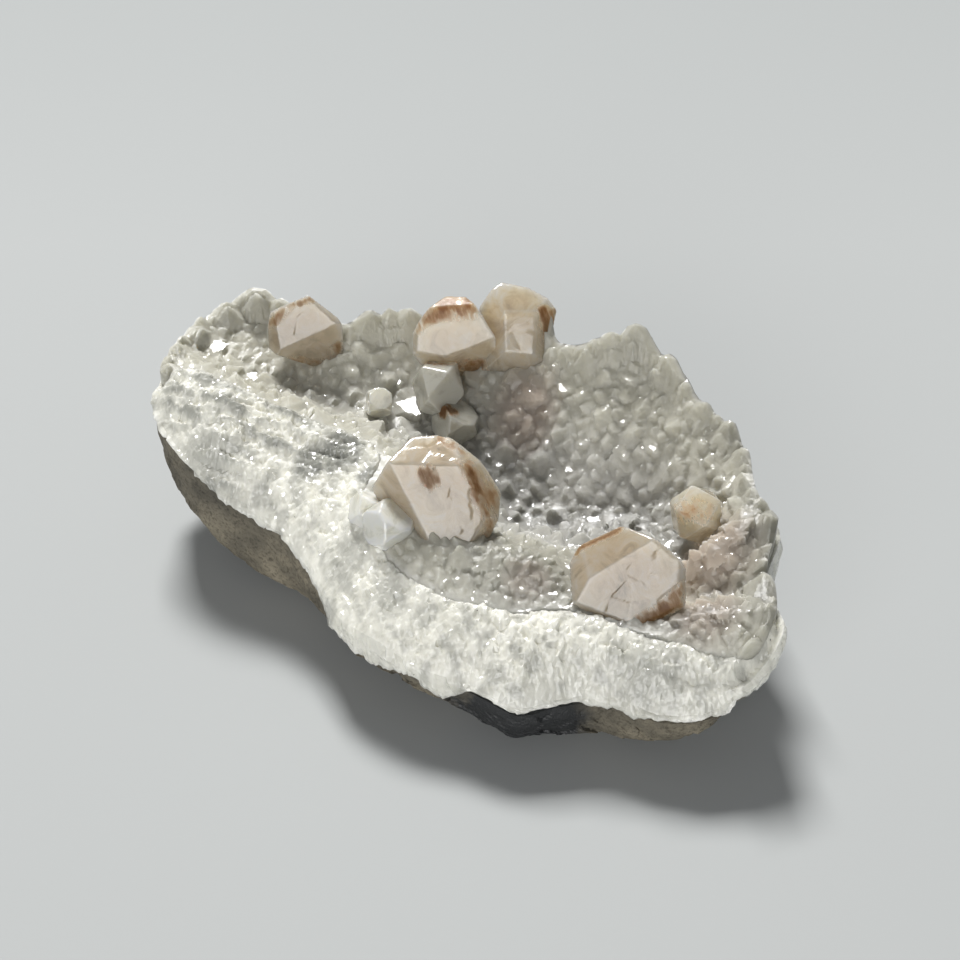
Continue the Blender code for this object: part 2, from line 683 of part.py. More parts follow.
def build_crystals(name, crystals, material, holders):
    """One node of one or more crystals grown together, set in sockets of its holders.

    Returns the crystals and the socket shapes, each as a list of objects.
    """
    blocks = []
    sockets = []
    for number, crystal in enumerate(crystals):
        label = name if number == 0 else f"{name}_guest_{number}"
        blocks.append(add_mesh_object(label, crystal_mesh(label, crystal, 0.0), material))
        label += "_socket"
        sockets.append(add_mesh_object(label, crystal_mesh(label, crystal, GAP), material))
    for guest in blocks[1:]:
        use_as_tool(blocks[0], guest, "UNION")
    for socket in sockets:
        for holder in holders:
            use_as_tool(holder, socket, "DIFFERENCE")
    return blocks, sockets


def stand_on_floor(things):
    """Move the whole model so the floor's origin is under the middle of its box."""
    corners = np.concatenate([
        np.array([thing.matrix_world @ vertex.co for vertex in thing.data.vertices])
        for thing in things if not thing.hide_render
    ])
    low = corners.min(axis=0)
    high = corners.max(axis=0)
    middle = Vector(((low[0] + high[0]) / 2.0, (low[1] + high[1]) / 2.0, low[2]))
    for thing in things:
        thing.location = -middle


def main():
    for thing in list(bpy.data.objects):
        bpy.data.objects.remove(thing)
    basalt = make_material("dark basalt", (0.13, 0.115, 0.095), 0.85)
    white = make_material("white broken quartz", (0.80, 0.80, 0.76), 0.55)
    druse_quartz = make_material("grey-green drusy quartz", (0.36, 0.37, 0.33), 0.2, 0.2)
    peach = make_material("peach apophyllite", (0.62, 0.50, 0.41), 0.25, 0.3)
    colourless = make_material("colourless crystal", (0.72, 0.73, 0.70), 0.12, 0.7)

    top = Top()
    rind = build_basalt(top, basalt)
    layer = build_white_layer(top, white)
    druse = build_druse(top, druse_quartz)
    things = [rind, layer, druse]
    sockets_of = {}
    for name, crystals in LARGE_CRYSTALS.items():
        blocks, sockets = build_crystals(name, crystals, peach, (druse, layer))
        sockets_of[name] = sockets
        things += blocks + sockets
    for name, crystals in SMALL_CRYSTALS.items():
        material = colourless if name.startswith("clear") else peach
        blocks, sockets = build_crystals(name, crystals, material, (druse, layer))
        sockets_of[name] = sockets
        for neighbour in sockets_of.get(GROWN_AGAINST.get(name), ()):
            use_as_tool(blocks[0], neighbour, "DIFFERENCE")
        things += blocks + sockets
    stand_on_floor(things)


main()
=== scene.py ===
"""Apophyllite crystals on drusy quartz, in a broken half nodule of basalt.

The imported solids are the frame. Each visible piece is worked out here from the same
edges and heights as its solid, with finer relief, and gets its own material.
Lengths inside the functions are millimetres in the rock's own frame, in which its foot
lies at z = -3.5. A piece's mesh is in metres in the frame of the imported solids.
"""

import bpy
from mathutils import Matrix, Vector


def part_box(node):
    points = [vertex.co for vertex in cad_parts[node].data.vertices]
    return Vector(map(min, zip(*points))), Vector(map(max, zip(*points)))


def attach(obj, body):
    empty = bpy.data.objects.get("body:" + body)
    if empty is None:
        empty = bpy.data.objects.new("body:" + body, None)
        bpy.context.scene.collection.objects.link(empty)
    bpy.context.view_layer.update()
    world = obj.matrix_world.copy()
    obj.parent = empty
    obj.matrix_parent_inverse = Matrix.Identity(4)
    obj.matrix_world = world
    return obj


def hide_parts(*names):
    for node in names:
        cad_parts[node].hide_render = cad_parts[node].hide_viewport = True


bl_info = {
    "name": "Apophyllite cluster",
    "version": (1, 0, 0),
    "blender": (4, 5, 0),
    "location": "3D View > Sidebar > Cluster",
    "description": "Builds a basalt half nodule with drusy quartz and apophyllite crystals",
    "category": "Add Mesh",
}

import math

import bpy
import numpy as np
from mathutils import Euler, Vector
from mathutils.geometry import delaunay_2d_cdt

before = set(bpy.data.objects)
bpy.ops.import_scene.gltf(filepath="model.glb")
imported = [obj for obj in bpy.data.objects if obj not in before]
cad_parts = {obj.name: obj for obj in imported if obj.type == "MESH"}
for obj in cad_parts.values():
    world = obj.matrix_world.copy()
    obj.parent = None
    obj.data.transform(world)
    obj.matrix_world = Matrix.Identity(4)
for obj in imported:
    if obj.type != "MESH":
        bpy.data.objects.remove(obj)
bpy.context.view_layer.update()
MM = 0.001

# Top edge of the broken nodule, counterclockwise from its left tip (x, y, z), and how
# full the rock's side is below it
TOP_EDGE = (
    (-52.0, 24.5, 24.0, 1.4), (-50.5, 20.5, 22.0, 1.5), (-46.0, 14.5, 20.0, 1.6),
    (-40.0, 9.5, 17.5, 1.6), (-32.0, 4.5, 15.5, 1.6), (-26.5, -1.5, 14.0, 1.3),
    (-23.0, -8.0, 13.0, 1.0), (-19.5, -14.5, 12.0, 0.9), (-9.5, -22.0, 11.0, 0.9),
    (-2.0, -25.0, 10.0, 1.1), (6.5, -29.0, 8.5, 1.5), (13.5, -28.0, 9.0, 1.7),
    (20.0, -28.0, 9.5, 1.8), (28.0, -31.0, 9.0, 1.5), (36.0, -31.5, 10.5, 1.0),
    (42.5, -28.0, 15.0, 0.8), (46.5, -24.0, 20.0, 0.8), (46.5, -19.0, 21.0, 0.9),
    (45.5, -12.0, 21.5, 1.0), (48.0, -5.0, 23.0, 1.0), (45.0, 0.5, 25.5, 1.1),
    (44.5, 7.0, 26.5, 1.2), (42.5, 13.5, 28.0, 1.2), (38.0, 17.5, 30.0, 1.2),
    (34.0, 24.5, 32.5, 1.2), (28.0, 30.5, 34.0, 1.2), (21.5, 31.0, 32.0, 1.2),
    (15.5, 33.5, 30.0, 1.2), (13.0, 38.5, 29.5, 1.2), (5.0, 42.5, 29.0, 1.2),
    (-5.0, 42.0, 28.5, 1.2), (-13.5, 41.5, 29.5, 1.2), (-21.0, 40.0, 29.0, 1.2),
    (-28.0, 43.5, 29.0, 1.2), (-36.0, 46.5, 29.0, 1.3), (-43.5, 44.5, 28.5, 1.3),
    (-48.0, 38.5, 28.0, 1.4), (-51.0, 31.0, 27.0, 1.4),
)

# Line where the grey druse stops and the white broken quartz starts (x, y)
DRUSE_EDGE = (
    (-50.0, 28.5), (-44.5, 27.0), (-36.0, 22.5), (-29.0, 19.0), (-20.0, 15.0),
    (-14.5, 10.0), (-17.0, 2.0), (-13.0, -8.5), (-4.5, -15.5), (5.0, -18.5),
    (15.0, -18.5), (25.5, -22.5), (33.0, -25.5), (39.0, -26.5), (43.5, -24.0),
    (45.0, -18.5), (44.2, -12.0), (46.2, -5.0), (43.6, 0.5), (43.0, 7.0),
    (41.0, 12.5), (36.8, 16.5), (32.6, 23.4), (27.4, 29.0), (21.5, 29.6),
    (14.4, 32.6), (11.8, 37.5), (4.6, 41.0), (-5.0, 40.6), (-13.5, 40.0),
    (-21.2, 38.6), (-28.4, 42.0), (-36.0, 44.9), (-42.8, 43.0), (-46.8, 37.6),
    (-49.5, 32.0),
)

# Heights of the broken top between the edges (x, y, z): left ridge and ledge, left bay,
# back wall, floor of the hollow, right wall and lumps, front crest and front band
TOP_SPOTS = (
    (-47.0, 27.0, 27.5), (-44.5, 26.5, 28.2), (-40.5, 23.5, 28.0), (-35.0, 21.0, 27.0),
    (-29.0, 18.5, 26.0), (-20.0, 14.5, 25.0), (-13.0, 11.0, 24.5),
    (-41.0, 15.5, 25.0), (-34.0, 16.0, 24.6), (-27.5, 13.5, 23.6), (-19.0, 8.5, 23.0),
    (-43.5, 13.5, 21.0), (-35.5, 10.0, 20.5), (-27.0, 3.0, 18.5), (-18.5, -2.5, 21.5),
    (-20.0, -7.5, 16.5),
    (-45.5, 37.0, 26.5), (-38.0, 38.5, 25.5), (-38.5, 31.5, 24.5), (-30.5, 36.5, 24.0),
    (-30.0, 29.5, 22.0), (-23.5, 34.0, 23.0), (-23.5, 27.5, 20.5),
    (-14.5, 37.0, 24.5), (-14.5, 32.0, 21.0), (-14.0, 25.0, 18.5), (-5.0, 35.0, 23.5),
    (-4.5, 30.0, 19.5), (-3.5, 25.0, 16.0), (5.0, 33.0, 24.0), (5.0, 28.5, 20.5),
    (5.0, 23.5, 16.0), (15.0, 29.0, 24.5), (15.0, 24.0, 20.0), (15.0, 19.5, 15.0),
    (5.0, 18.0, 12.0), (6.5, 10.5, 10.0), (15.0, 13.5, 11.0), (14.5, 6.5, 10.5),
    (22.5, 6.0, 12.0), (22.5, 12.0, 13.0), (26.0, -3.0, 13.0),
    (21.5, 26.0, 26.5), (21.5, 21.0, 22.5), (21.0, 16.5, 17.5), (29.0, 25.0, 28.5),
    (29.0, 19.5, 24.0), (29.0, 14.5, 19.5), (30.0, 10.0, 15.5), (31.0, 2.0, 14.0),
    (35.5, 15.5, 26.0), (35.0, 11.0, 22.5), (36.0, 5.5, 19.0), (36.5, -3.0, 17.0),
    (41.5, 7.5, 25.0), (41.0, -1.5, 23.5),
    (40.5, -6.0, 24.0), (36.0, -9.5, 21.5), (42.0, -13.5, 19.5), (37.5, -13.5, 17.5),
    (34.5, -18.5, 20.0), (40.0, -21.5, 21.5), (33.0, -23.5, 18.5), (31.5, -12.5, 14.5),
    (28.5, -9.5, 14.0),
    (-11.0, -2.0, 23.0), (-4.5, -5.0, 23.0), (4.5, -9.0, 22.5), (11.0, -10.5, 21.5),
    (13.5, -15.0, 19.5), (21.0, -12.0, 17.0), (22.5, -20.0, 18.0),
    (-10.5, -9.5, 20.5), (-6.0, -15.5, 17.5), (-12.0, -17.0, 15.0), (0.0, -21.5, 15.5),
    (7.5, -17.5, 18.5), (10.5, -22.5, 16.5), (13.5, -26.0, 12.5), (4.5, -26.0, 12.5),
    (19.5, -24.0, 16.0), (27.0, -27.5, 15.0), (34.0, -28.5, 14.5),
)

# Single tall points on the back edge (x, y, width)
TALL_POINTS = (
    (-36.4, 45.2, 5.6), (-41.4, 43.0, 3.6), (-32.6, 43.9, 3.4), (-46.0, 37.8, 3.2),
    (19.6, 29.8, 3.4), (23.2, 30.0, 3.8), (27.4, 29.6, 4.2), (32.6, 24.6, 3.4),
    (-17.2, 40.0, 3.4), (-10.8, 40.8, 4.0), (-13.6, 40.6, 2.8), (46.0, -5.6, 4.0),
    (43.2, 7.6, 3.2), (44.6, -16.0, 3.6), (41.4, 12.8, 3.0),
)

# Flat oval foot of the rock, and the layers, lips and gap above it
FOOT_DEPTH = 3.5
LONG_AXIS_TURN = math.radians(-29.0)
FOOT_CENTRE = (0.0, 4.0)
FOOT_HALF_AXES = (25.0, 13.0)
DRUSE_SLAB = 3.2
WHITE_LAYER = 3.6
LIP_FRONT = 1.6
LIP_BACK = 6.0
EDGE_DROP = 2.6
GAP = 0.35

# Mesh spacing of the broken surfaces, rows down the rock's side, and the cells along a
# side of each crystal's cube of directions
WHITE_SPACING = 0.46
DRUSE_SPACING = 0.36
ROCK_ROWS = 44
PEACH_CELLS = 52
PAIR_CELLS = 64
CLEAR_CELLS = 32

# Quartz points: the angle of a face from the axis, and below which share of its width a
# point's foot is half filled
FACE_ANGLE = math.radians(51.8)
VALLEY = 0.14

# Wear of the crystals' edges, as a share of their size
EDGE_WEAR = 0.004

# Large crystals: the point that each is measured from, and outward faces of each of its
# bodies as (centre, ((heading, slope, distance), ...)), in degrees and millimetres
LARGE_CRYSTALS = {
    "apophyllite_centre": ((-4.2, 1.4, 24.9), (
        ((-4.2, 1.4, 24.9), (
            (-90, 28, 6.3), (-84, 77, 8.3), (-126, 6, 7.8), (-40, 34, 8.2), (-20, 67, 8.7),
            (-59, 8, 9.3), (96, 24, 6.1), (78, 24, 5.8), (45, 10, 4.8), (50, 14, 4.6),
            (28, -34, 4.6), (146, 24, 8.3), (169, -31, 8.1), (90, -42, 8.0), (0, -90, 5.6),
        )),
    )),
    "apophyllite_front_right": ((24.0, -12.5, 19.6), (
        ((24.0, -12.5, 19.6), (
            (-93, 31, 5.4), (-145, 60, 6.7), (-157, 39, 7.7), (161, 59, 7.7), (-74, -8, 8.1),
            (-107, -10, 7.6), (-42, 23, 9.6), (99, 5, 4.0), (138, 1, 7.0), (54, 19, 4.3),
            (47, 15, 4.6), (40, -21, 2.4), (157, -47, 4.1), (0, -90, 5.4),
        )),
    )),
    "apophyllite_back_left": ((-27.6, 38.5, 26.5), (
        ((-27.6, 38.5, 26.5), (
            (-90, 33, 4.9), (-76, -1, 4.0), (-60, 50, 6.9), (-123, 24, 6.4), (112, 24, 3.1),
            (59, 16, 2.6), (40, 4, 3.4), (32, 1, 4.0), (13, -31, 5.6), (-163, -59, 3.3),
            (155, -14, 3.7), (146, -2, 3.8), (90, 0, 3.0), (90, -42, 4.4), (0, -90, 3.8),
        )),
    )),
    "apophyllite_back_pair": ((2.6, 34.5, 24.7), (
        ((-3.1, 36.8, 27.2), (
            (-90, 31, 4.9), (-109, 80, 7.6), (-74, -12, 4.9), (-97, -12, 5.4), (-129, 27, 7.2),
            (123, 11, 3.0), (85, 17, 3.4), (47, 7, 3.3), (39, 9, 3.7), (133, 8, 2.7),
            (39, -13, 4.2), (148, -20, 2.7), (90, 0, 2.8), (90, -42, 4.6), (0, -90, 5.8),
        )),
        ((8.7, 38.6, 26.9), (
            (-90, 36, 5.5), (-90, 61, 6.6), (-51, 27, 5.8), (-93, -3, 6.3), (-134, 26, 6.2),
            (127, 14, 6.0), (77, 22, 4.8), (58, 16, 4.1), (19, -28, 2.3), (155, -19, 5.0),
            (152, -32, 4.8), (90, 0, 2.8), (90, -42, 4.2), (0, -90, 3.6),
        )),
    )),
}

# Small crystals: the point that each is measured from, and its tetragonal blocks as
# (centre, turn about X, Y and Z, distances of the prism, base and corner faces)
SMALL_CRYSTALS = {
    "apophyllite_right": ((35.6, 0.8, 20.2), (
        ((35.6, 0.8, 20.2), (22, -6, 12), 3.6, 3.3, 4.0),
    )),
    "clear_crystal_back": ((-5.4, 29.6, 22.4), (
        ((-5.4, 29.6, 22.4), (-12, 10, 24), 3.3, 4.2, 4.1),
    )),
    "clear_crystal_stained": ((-2.6, 25.8, 18.0), (
        ((-2.6, 25.8, 18.0), (14, 24, 30), 3.0, 2.6, 3.8),
    )),
    "clear_crystal_cube": ((-15.2, 27.0, 21.2), (
        ((-15.2, 27.0, 21.2), (28, 8, 10), 1.9, 2.0, 2.6),
    )),
    "clear_crystals_centre": ((-14.1, -2.5, 22.2), (
        ((-12.4, -4.6, 23.0), (20, 18, 38), 3.1, 3.0, 3.9),
        ((-15.8, -1.2, 23.0), (-16, 28, 12), 2.4, 2.4, 3.0),
    )),
}
CORNER_SLOPE = math.radians(58.0)
PEACH_NODES = (*LARGE_CRYSTALS, "apophyllite_right")
CLEAR_NODES = (
    "clear_crystal_back", "clear_crystal_stained", "clear_crystal_cube", "clear_crystals_centre",
)

# How milky, and so how pale, each crystal is; this is partly painted light and shade, with
# crystals that stand in shade made paler and brightly lit ones darker
MILK_AND_PAINTED_LIGHT = {
    "apophyllite_centre": 0.76, "apophyllite_front_right": 0.70, "apophyllite_back_left": 0.60,
    "apophyllite_back_pair": 0.88, "apophyllite_right": 1.0, "clear_crystal_back": 0.66,
    "clear_crystal_stained": 0.60, "clear_crystal_cube": 0.80, "clear_crystals_centre": 1.0,
}

# Iron stains on each crystal, each along a line: (start, end, radius, strength)
STAINS = {
    "apophyllite_centre": (
        ((-0.4, -1.0, 32.8), (1.3, -4.0, 28.1), 1.6, 0.9),
        ((0.9, -2.6, 31.0), (3.0, -4.6, 25.8), 2.2, 0.55),
        ((3.4, -2.4, 29.0), (4.4, -4.2, 24.6), 3.4, 0.35),
        ((-6.4, -2.2, 31.6), (-5.9, -3.0, 30.3), 1.9, 0.9),
        ((-1.0, 0.6, 33.4), (-4.4, 3.4, 33.8), 1.2, 0.6),
        ((3.4, -5.0, 24.4), (3.0, -5.4, 23.0), 2.0, 0.7),
        ((-10.0, 2.2, 29.0), (-12.0, -1.0, 24.0), 2.4, 0.45),
    ),
    "apophyllite_front_right": (
        ((15.8, -10.8, 23.7), (22.6, -9.8, 27.1), 1.3, 1.1),
        ((26.0, -20.4, 17.2), (30.6, -19.0, 19.9), 2.2, 1.0),
        ((29.6, -19.0, 19.6), (31.6, -17.0, 22.0), 1.6, 0.7),
    ),
    "apophyllite_back_left": (
        ((-33.4, 35.8, 30.8), (-30.2, 37.2, 33.6), 1.3, 0.8),
        ((-30.2, 37.2, 33.6), (-26.3, 37.8, 34.5), 0.9, 0.9),
        ((-30.2, 34.4, 24.2), (-28.6, 34.2, 24.0), 2.0, 0.7),
        ((-26.8, 34.0, 22.9), (-24.2, 34.2, 22.9), 2.2, 0.8),
        ((-22.4, 35.6, 25.7), (-22.6, 35.6, 24.6), 2.0, 0.8),
    ),
    "apophyllite_back_pair": (
        ((-8.0, 34.6, 33.2), (-5.0, 35.4, 34.4), 2.2, 0.95),
        ((-5.0, 35.8, 34.6), (-0.6, 36.0, 34.8), 2.4, 1.0),
        ((-7.0, 36.6, 34.7), (0.2, 36.8, 34.9), 3.8, 0.9),
        ((-8.6, 33.6, 31.4), (-8.0, 34.4, 33.0), 1.4, 0.7),
        ((12.2, 36.9, 32.8), (12.9, 35.0, 29.0), 1.5, 1.1),
        ((14.2, 37.4, 31.4), (14.0, 35.0, 28.0), 1.9, 0.9),
        ((-1.8, 33.4, 24.4), (1.2, 33.2, 23.8), 2.6, 0.8),
        ((12.6, 36.0, 31.0), (12.0, 35.0, 26.0), 2.6, 0.4),
    ),
    "apophyllite_right": (((33.2, -0.9, 23.0), (35.9, -1.4, 23.0), 3.4, 0.36),),
    "clear_crystal_stained": (((-4.9, 25.4, 20.9), (-3.2, 24.9, 21.0), 1.7, 1.1),),
    "clear_crystal_back": (((-7.2, 31.2, 27.0), (-4.6, 31.0, 27.0), 1.4, 0.8),),
}

# Quartz faces that catch the light (x, y, width of the point)
BRIGHT_POINTS = (
    (-9.3, 29.0, 4.2), (-11.4, 29.2, 2.0), (-9.4, 26.6, 1.6), (-42.4, 36.6, 2.2),
    (-36.3, 30.6, 2.0), (15.6, 27.8, 2.2), (26.2, 25.6, 2.4), (-12.2, 32.6, 1.3),
    (16.1, 17.8, 1.4), (4.9, 20.3, 1.3), (6.5, 11.2, 1.0), (31.5, 0.6, 1.4),
    (40.1, 12.0, 1.4), (39.8, 14.2, 1.1), (19.4, 9.6, 1.0), (12.9, -15.6, 1.2),
    (24.8, 20.2, 1.2), (-24.0, 30.0, 1.1),
)

# Grey clear patches in the white quartz, and places where it is a little clear; on the
# top-facing left of the band the faint greyness is also painted shade (x, y, radius)
GREY_PATCHES = ((-20.6, 11.6, 5.4), (-25.6, 10.4, 4.0), (-15.5, 6.0, 3.4))
FAINT_PATCHES = (
    (27.0, -26.5, 8.0), (-43.0, 13.0, 6.0), (-19.0, -6.0, 5.0), (-12.0, -14.0, 4.0),
)

# Streaked broken crests of the white quartz (x, y, radius), and the turn of their streaks
STREAKED = (
    (-45.0, 24.0, 8.0), (-37.0, 20.0, 8.0), (-30.0, 16.5, 7.0), (-22.0, 13.0, 6.0),
    (-40.0, 12.0, 6.0),
)
CREST_TURN = np.array(Euler((0.0, 0.0, math.radians(-20.0))).to_matrix())

# Where the white lip hangs lower over the basalt, and where it is broken off short
LONG_LIP = ((-15.0, -18.0, 9.0), (-4.0, -25.0, 5.0), (-21.0, -11.0, 5.0))
SHORT_LIP = ((3.5, -28.0, 9.0), (10.0, -29.0, 8.0), (31.0, -32.0, 7.0), (-48.0, 18.0, 9.0))

# Pink patches in the druse (x, y, radius)
PINK_PATCHES = (
    (37.0, -8.0, 9.0), (9.0, 27.0, 7.0), (9.0, -14.5, 5.0), (27.0, -8.0, 6.0),
    (35.0, -20.0, 7.0),
)

# Middle and half axes of the dark slaty patch low on the basalt's front
SLATE_PLACE = (6.0, -28.0, 2.0)
SLATE_REACH = (13.0, 11.0, 10.0)

QUARTZ_IOR = 1.544
APOPHYLLITE_IOR = 1.535

# Stage: lights as (name, place, size, power) and the backdrop, in metres and watts, and
# the camera, in millimetres in the rock's own frame
KEY_PLACE = np.array([-0.34, 1.40, 2.08])
LIGHTS = (
    ("key softbox", KEY_PLACE, 0.66, 86.0),
    ("front fill", (-0.40, -1.30, 0.45), 1.0, 12.5),
)
ROOM_STRENGTH = 0.165
# Span along Y over which the backdrop is painted darker, as painted shade far behind
FLOOR_PAINTED_SHADE_SPAN = (0.10, 0.34)
FLOOR_HALF = 2.0
CAMERA_TILT = math.radians(42.0)
CAMERA_BACK = np.array([0.0, -math.cos(CAMERA_TILT), math.sin(CAMERA_TILT)])
CAMERA_REACH = 330.0
CAMERA_AIM = np.array([1.6, 14.7, 15.0])
CAMERA_LENS = 75.5


# Shape helpers: closed lines, heights and relief, all on whole arrays


def unit(vectors):
    """Vectors at length 1."""
    return vectors / np.linalg.norm(vectors, axis=-1, keepdims=True)


def closed_curve(points, count):
    """Closed cubic through the points, p(t) with each slope half the span between the
    neighbours, sampled as count points at even spacing."""
    points = np.array(points, float)
    before = np.roll(points, 1, axis=0)[:, None]
    after = np.roll(points, -1, axis=0)[:, None]
    beyond = np.roll(points, -2, axis=0)[:, None]
    start = points[:, None]
    t = np.linspace(0.0, 1.0, 24, endpoint=False)[None, :, None]
    fine = (
        (2 * t**3 - 3 * t**2 + 1) * start + (t**3 - 2 * t**2 + t) * (after - before) / 2.0
        + (3 * t**2 - 2 * t**3) * after + (t**3 - t**2) * (beyond - start) / 2.0
    ).reshape(-1, points.shape[1])
    fine = np.concatenate([fine, fine[:1]])
    run = np.concatenate([[0.0], np.cumsum(np.linalg.norm(np.diff(fine, axis=0), axis=1))])
    wanted = np.linspace(0.0, run[-1], count, endpoint=False)
    return np.stack([np.interp(wanted, run, column) for column in fine.T], 1)


def inside_outline(points, outline):
    """Which plan points lie inside the closed outline: an odd number of its sides cross
    the line that runs from the point along +X."""
    start = outline[None]
    end = np.roll(outline, -1, axis=0)[None]
    x = points[:, None, 0]
    y = points[:, None, 1]
    rise = end[..., 1] - start[..., 1]
    rise = np.where(rise == 0.0, 1e-9, rise)
    spans = (start[..., 1] > y) != (end[..., 1] > y)
    reach = start[..., 0] + (end[..., 0] - start[..., 0]) * (y - start[..., 1]) / rise
    return (spans & (x < reach)).sum(axis=1) % 2 == 1


def distance_to_outline(points, outline):
    """Plan distance of each point from the nearest side of the closed outline."""
    nearest = np.full(len(points), 1e9)
    for start, end in zip(outline, np.roll(outline, -1, axis=0)):
        side = end - start
        along = np.clip((points - start) @ side / (side @ side), 0.0, 1.0)
        away = np.linalg.norm(points - start - along[:, None] * side, axis=1)
        nearest = np.minimum(nearest, away)
    return nearest


def fit_plate(spots):
    """Height function of a thin plate bent through the spots: a flat tilt plus, for each
    spot, its weight times r squared log r."""
    spots = np.array(spots, float)
    scale = 50.0
    softness = 0.0005
    plan = spots[:, :2] / scale
    count = len(plan)

    def kernel(distance):
        return distance**2 * np.log(distance + 1e-6)

    flat = np.column_stack([np.ones(count), plan])
    system = np.zeros((count + 3, count + 3))
    system[:count, :count] = kernel(np.linalg.norm(plan[:, None] - plan[None], axis=2))
    system[:count, :count] += softness * np.eye(count)
    system[:count, count:] = flat
    system[count:, :count] = flat.T
    weights = np.linalg.solve(system, np.concatenate([spots[:, 2], np.zeros(3)]))

    def height(points):
        points = np.asarray(points, float)[:, :2] / scale
        total = np.column_stack([np.ones(len(points)), points]) @ weights[count:]
        for place, weight in zip(plan, weights[:count]):
            total += weight * kernel(np.linalg.norm(points - place, axis=1))
        return total

    return height


def ripple(points, length, seed):
    """Sum of seeded plane waves in three octaves, about -1 to 1, for broken rock."""
    chance = np.random.default_rng(seed)
    total = np.zeros(len(points))
    for octave in range(3):
        for _ in range(5):
            heading = chance.normal(size=points.shape[1])
            heading *= 2.0 * math.pi * 2**octave / (length * np.linalg.norm(heading))
            total += np.sin(points @ heading + chance.uniform(0.0, 2.0 * math.pi)) / 2**octave
    return total / 4.2


def scatter(cells, seed, count):
    """Seeded numbers from 0 to 1 for whole-numbered cells, count of them for each."""
    mixed = cells @ np.array([73856093, 19349663, 83492791]) + seed * 2654435
    numbers = []
    for turn in range(count):
        value = (mixed + turn * 668265263) & 0xFFFFFFFF
        value = ((value ^ (value >> 15)) * 2246822519) & 0xFFFFFFFF
        value = ((value ^ (value >> 13)) * 3266489917) & 0xFFFFFFFF
        numbers.append(((value ^ (value >> 16)) & 0xFFFFFF) / float(0x1000000))
    return np.stack(numbers, axis=-1)


def facets(points, size, seed):
    """Relief of flat tilted grains, about -1 to 1: each point belongs to the nearest of a
    cloud of shaken grain centres, and its height is its way from that centre along the
    grain's own tilt."""
    points = points / size
    home = np.floor(points).astype(np.int64)
    best = np.full(len(points), 1e9)
    relief = np.zeros(len(points))
    for step in np.ndindex(3, 3, 3):
        cell = home + np.array(step) - 1
        centre = cell + scatter(cell, seed, 3)
        away = points - centre
        distance = np.linalg.norm(away, axis=1)
        tilt = scatter(cell, seed + 77, 4) * 2.0 - 1.0
        nearer = distance < best
        best = np.where(nearer, distance, best)
        slope = (away * tilt[:, :3]).sum(axis=1) * 1.3
        relief = np.where(nearer, slope + 0.4 * tilt[:, 3], relief)
    return relief


def grid_inside(outline, spacing, margin, seed):
    """Staggered grid of shaken plan points at least margin inside the outline."""
    low = outline.min(axis=0)
    high = outline.max(axis=0)
    x, y = np.meshgrid(
        np.arange(low[0], high[0], spacing), np.arange(low[1], high[1], spacing * 0.87))
    x[1::2] += spacing / 2.0
    points = np.stack([x.ravel(), y.ravel()], 1)
    points += np.random.default_rng(seed).uniform(-0.2, 0.2, points.shape) * spacing
    keep = inside_outline(points, outline) & (distance_to_outline(points, outline) > margin)
    return points[keep]


def triangles_inside(points, ring_count):
    """Triangles over plan points whose first ring_count points are the closed outline."""
    flat = [Vector(point[:2]) for point in points]
    result = delaunay_2d_cdt(flat, [], [list(range(ring_count))], 1, 1e-5)
    return np.array([[result[3][corner][0] for corner in face] for face in result[2]])


def wall_faces(upper, lower):
    """Triangles between two closed rings of the same count, upper and lower indices,
    facing away from a counterclockwise ring's inside."""
    upper_next = np.roll(upper, -1)
    lower_next = np.roll(lower, -1)
    return np.concatenate([
        np.stack([upper, lower, lower_next], 1),
        np.stack([upper, lower_next, upper_next], 1),
    ])


def outward_offset(outline, distance):
    """Counterclockwise plan outline moved outwards by distance, point by point."""
    tangent = np.roll(outline, -1, axis=0) - np.roll(outline, 1, axis=0)
    normal = unit(np.column_stack([tangent[:, 1], -tangent[:, 0]]))
    return outline + normal * np.reshape(distance, (-1, 1))


TOP_RING = closed_curve(TOP_EDGE, 600)
TOP_PLAN = TOP_RING[:, :2]
DRUSE_PLAN = closed_curve(DRUSE_EDGE, 520)
top_height = fit_plate([point[:3] for point in TOP_EDGE] + list(TOP_SPOTS))

# Where the rock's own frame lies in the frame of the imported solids
solid_low = np.array(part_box("white_quartz_layer")[0][:2]) / MM
SHIFT = np.append(solid_low - closed_curve(TOP_EDGE, 80)[:, :2].min(axis=0), FOOT_DEPTH)


def druse_rim(points):
    """1 where the druse runs out to the top edge, falling to 0 where the white band is
    wide, read at points on the top edge."""
    return np.clip((3.2 - distance_to_outline(points, DRUSE_PLAN[::4])) / 2.0, 0.0, 1.0)


def near_edge(points, reach, span):
    """1 at plan points close to the top edge, falling to 0 over the span that ends at
    reach from it."""
    return np.clip((reach - distance_to_outline(points, TOP_PLAN[::4])) / span, 0.0, 1.0)


def white_underside(points):
    """Height of the white layer's underside, which follows the hollow at depth."""
    inset = distance_to_outline(points, TOP_PLAN[::4])
    share = np.clip(inset / 7.0, 0.0, 1.0)
    share = share * share * (3.0 - 2.0 * share)
    lip = LIP_FRONT + (LIP_BACK - LIP_FRONT) * druse_rim(points)
    depth = DRUSE_SLAB + GAP + WHITE_LAYER
    return top_height(points) - (lip + (depth - lip) * share)


def upward_normals(points):
    """Unit normals of the top height at plan points."""
    step = 0.4
    along_x = (top_height(points + [step, 0.0]) - top_height(points - [step, 0.0])) / (2 * step)
    along_y = (top_height(points + [0.0, step]) - top_height(points - [0.0, step])) / (2 * step)
    return unit(np.column_stack([-along_x, -along_y, np.ones(len(points))]))


def near_spots(points, spots):
    """How near each point is in plan to the nearest spot: 1 in its middle, 0 at its rim."""
    strength = np.zeros(len(points))
    for x, y, radius in spots:
        away = np.linalg.norm(points[:, :2] - [x, y], axis=1)
        strength = np.maximum(strength, 1.0 - away / radius)
    return strength


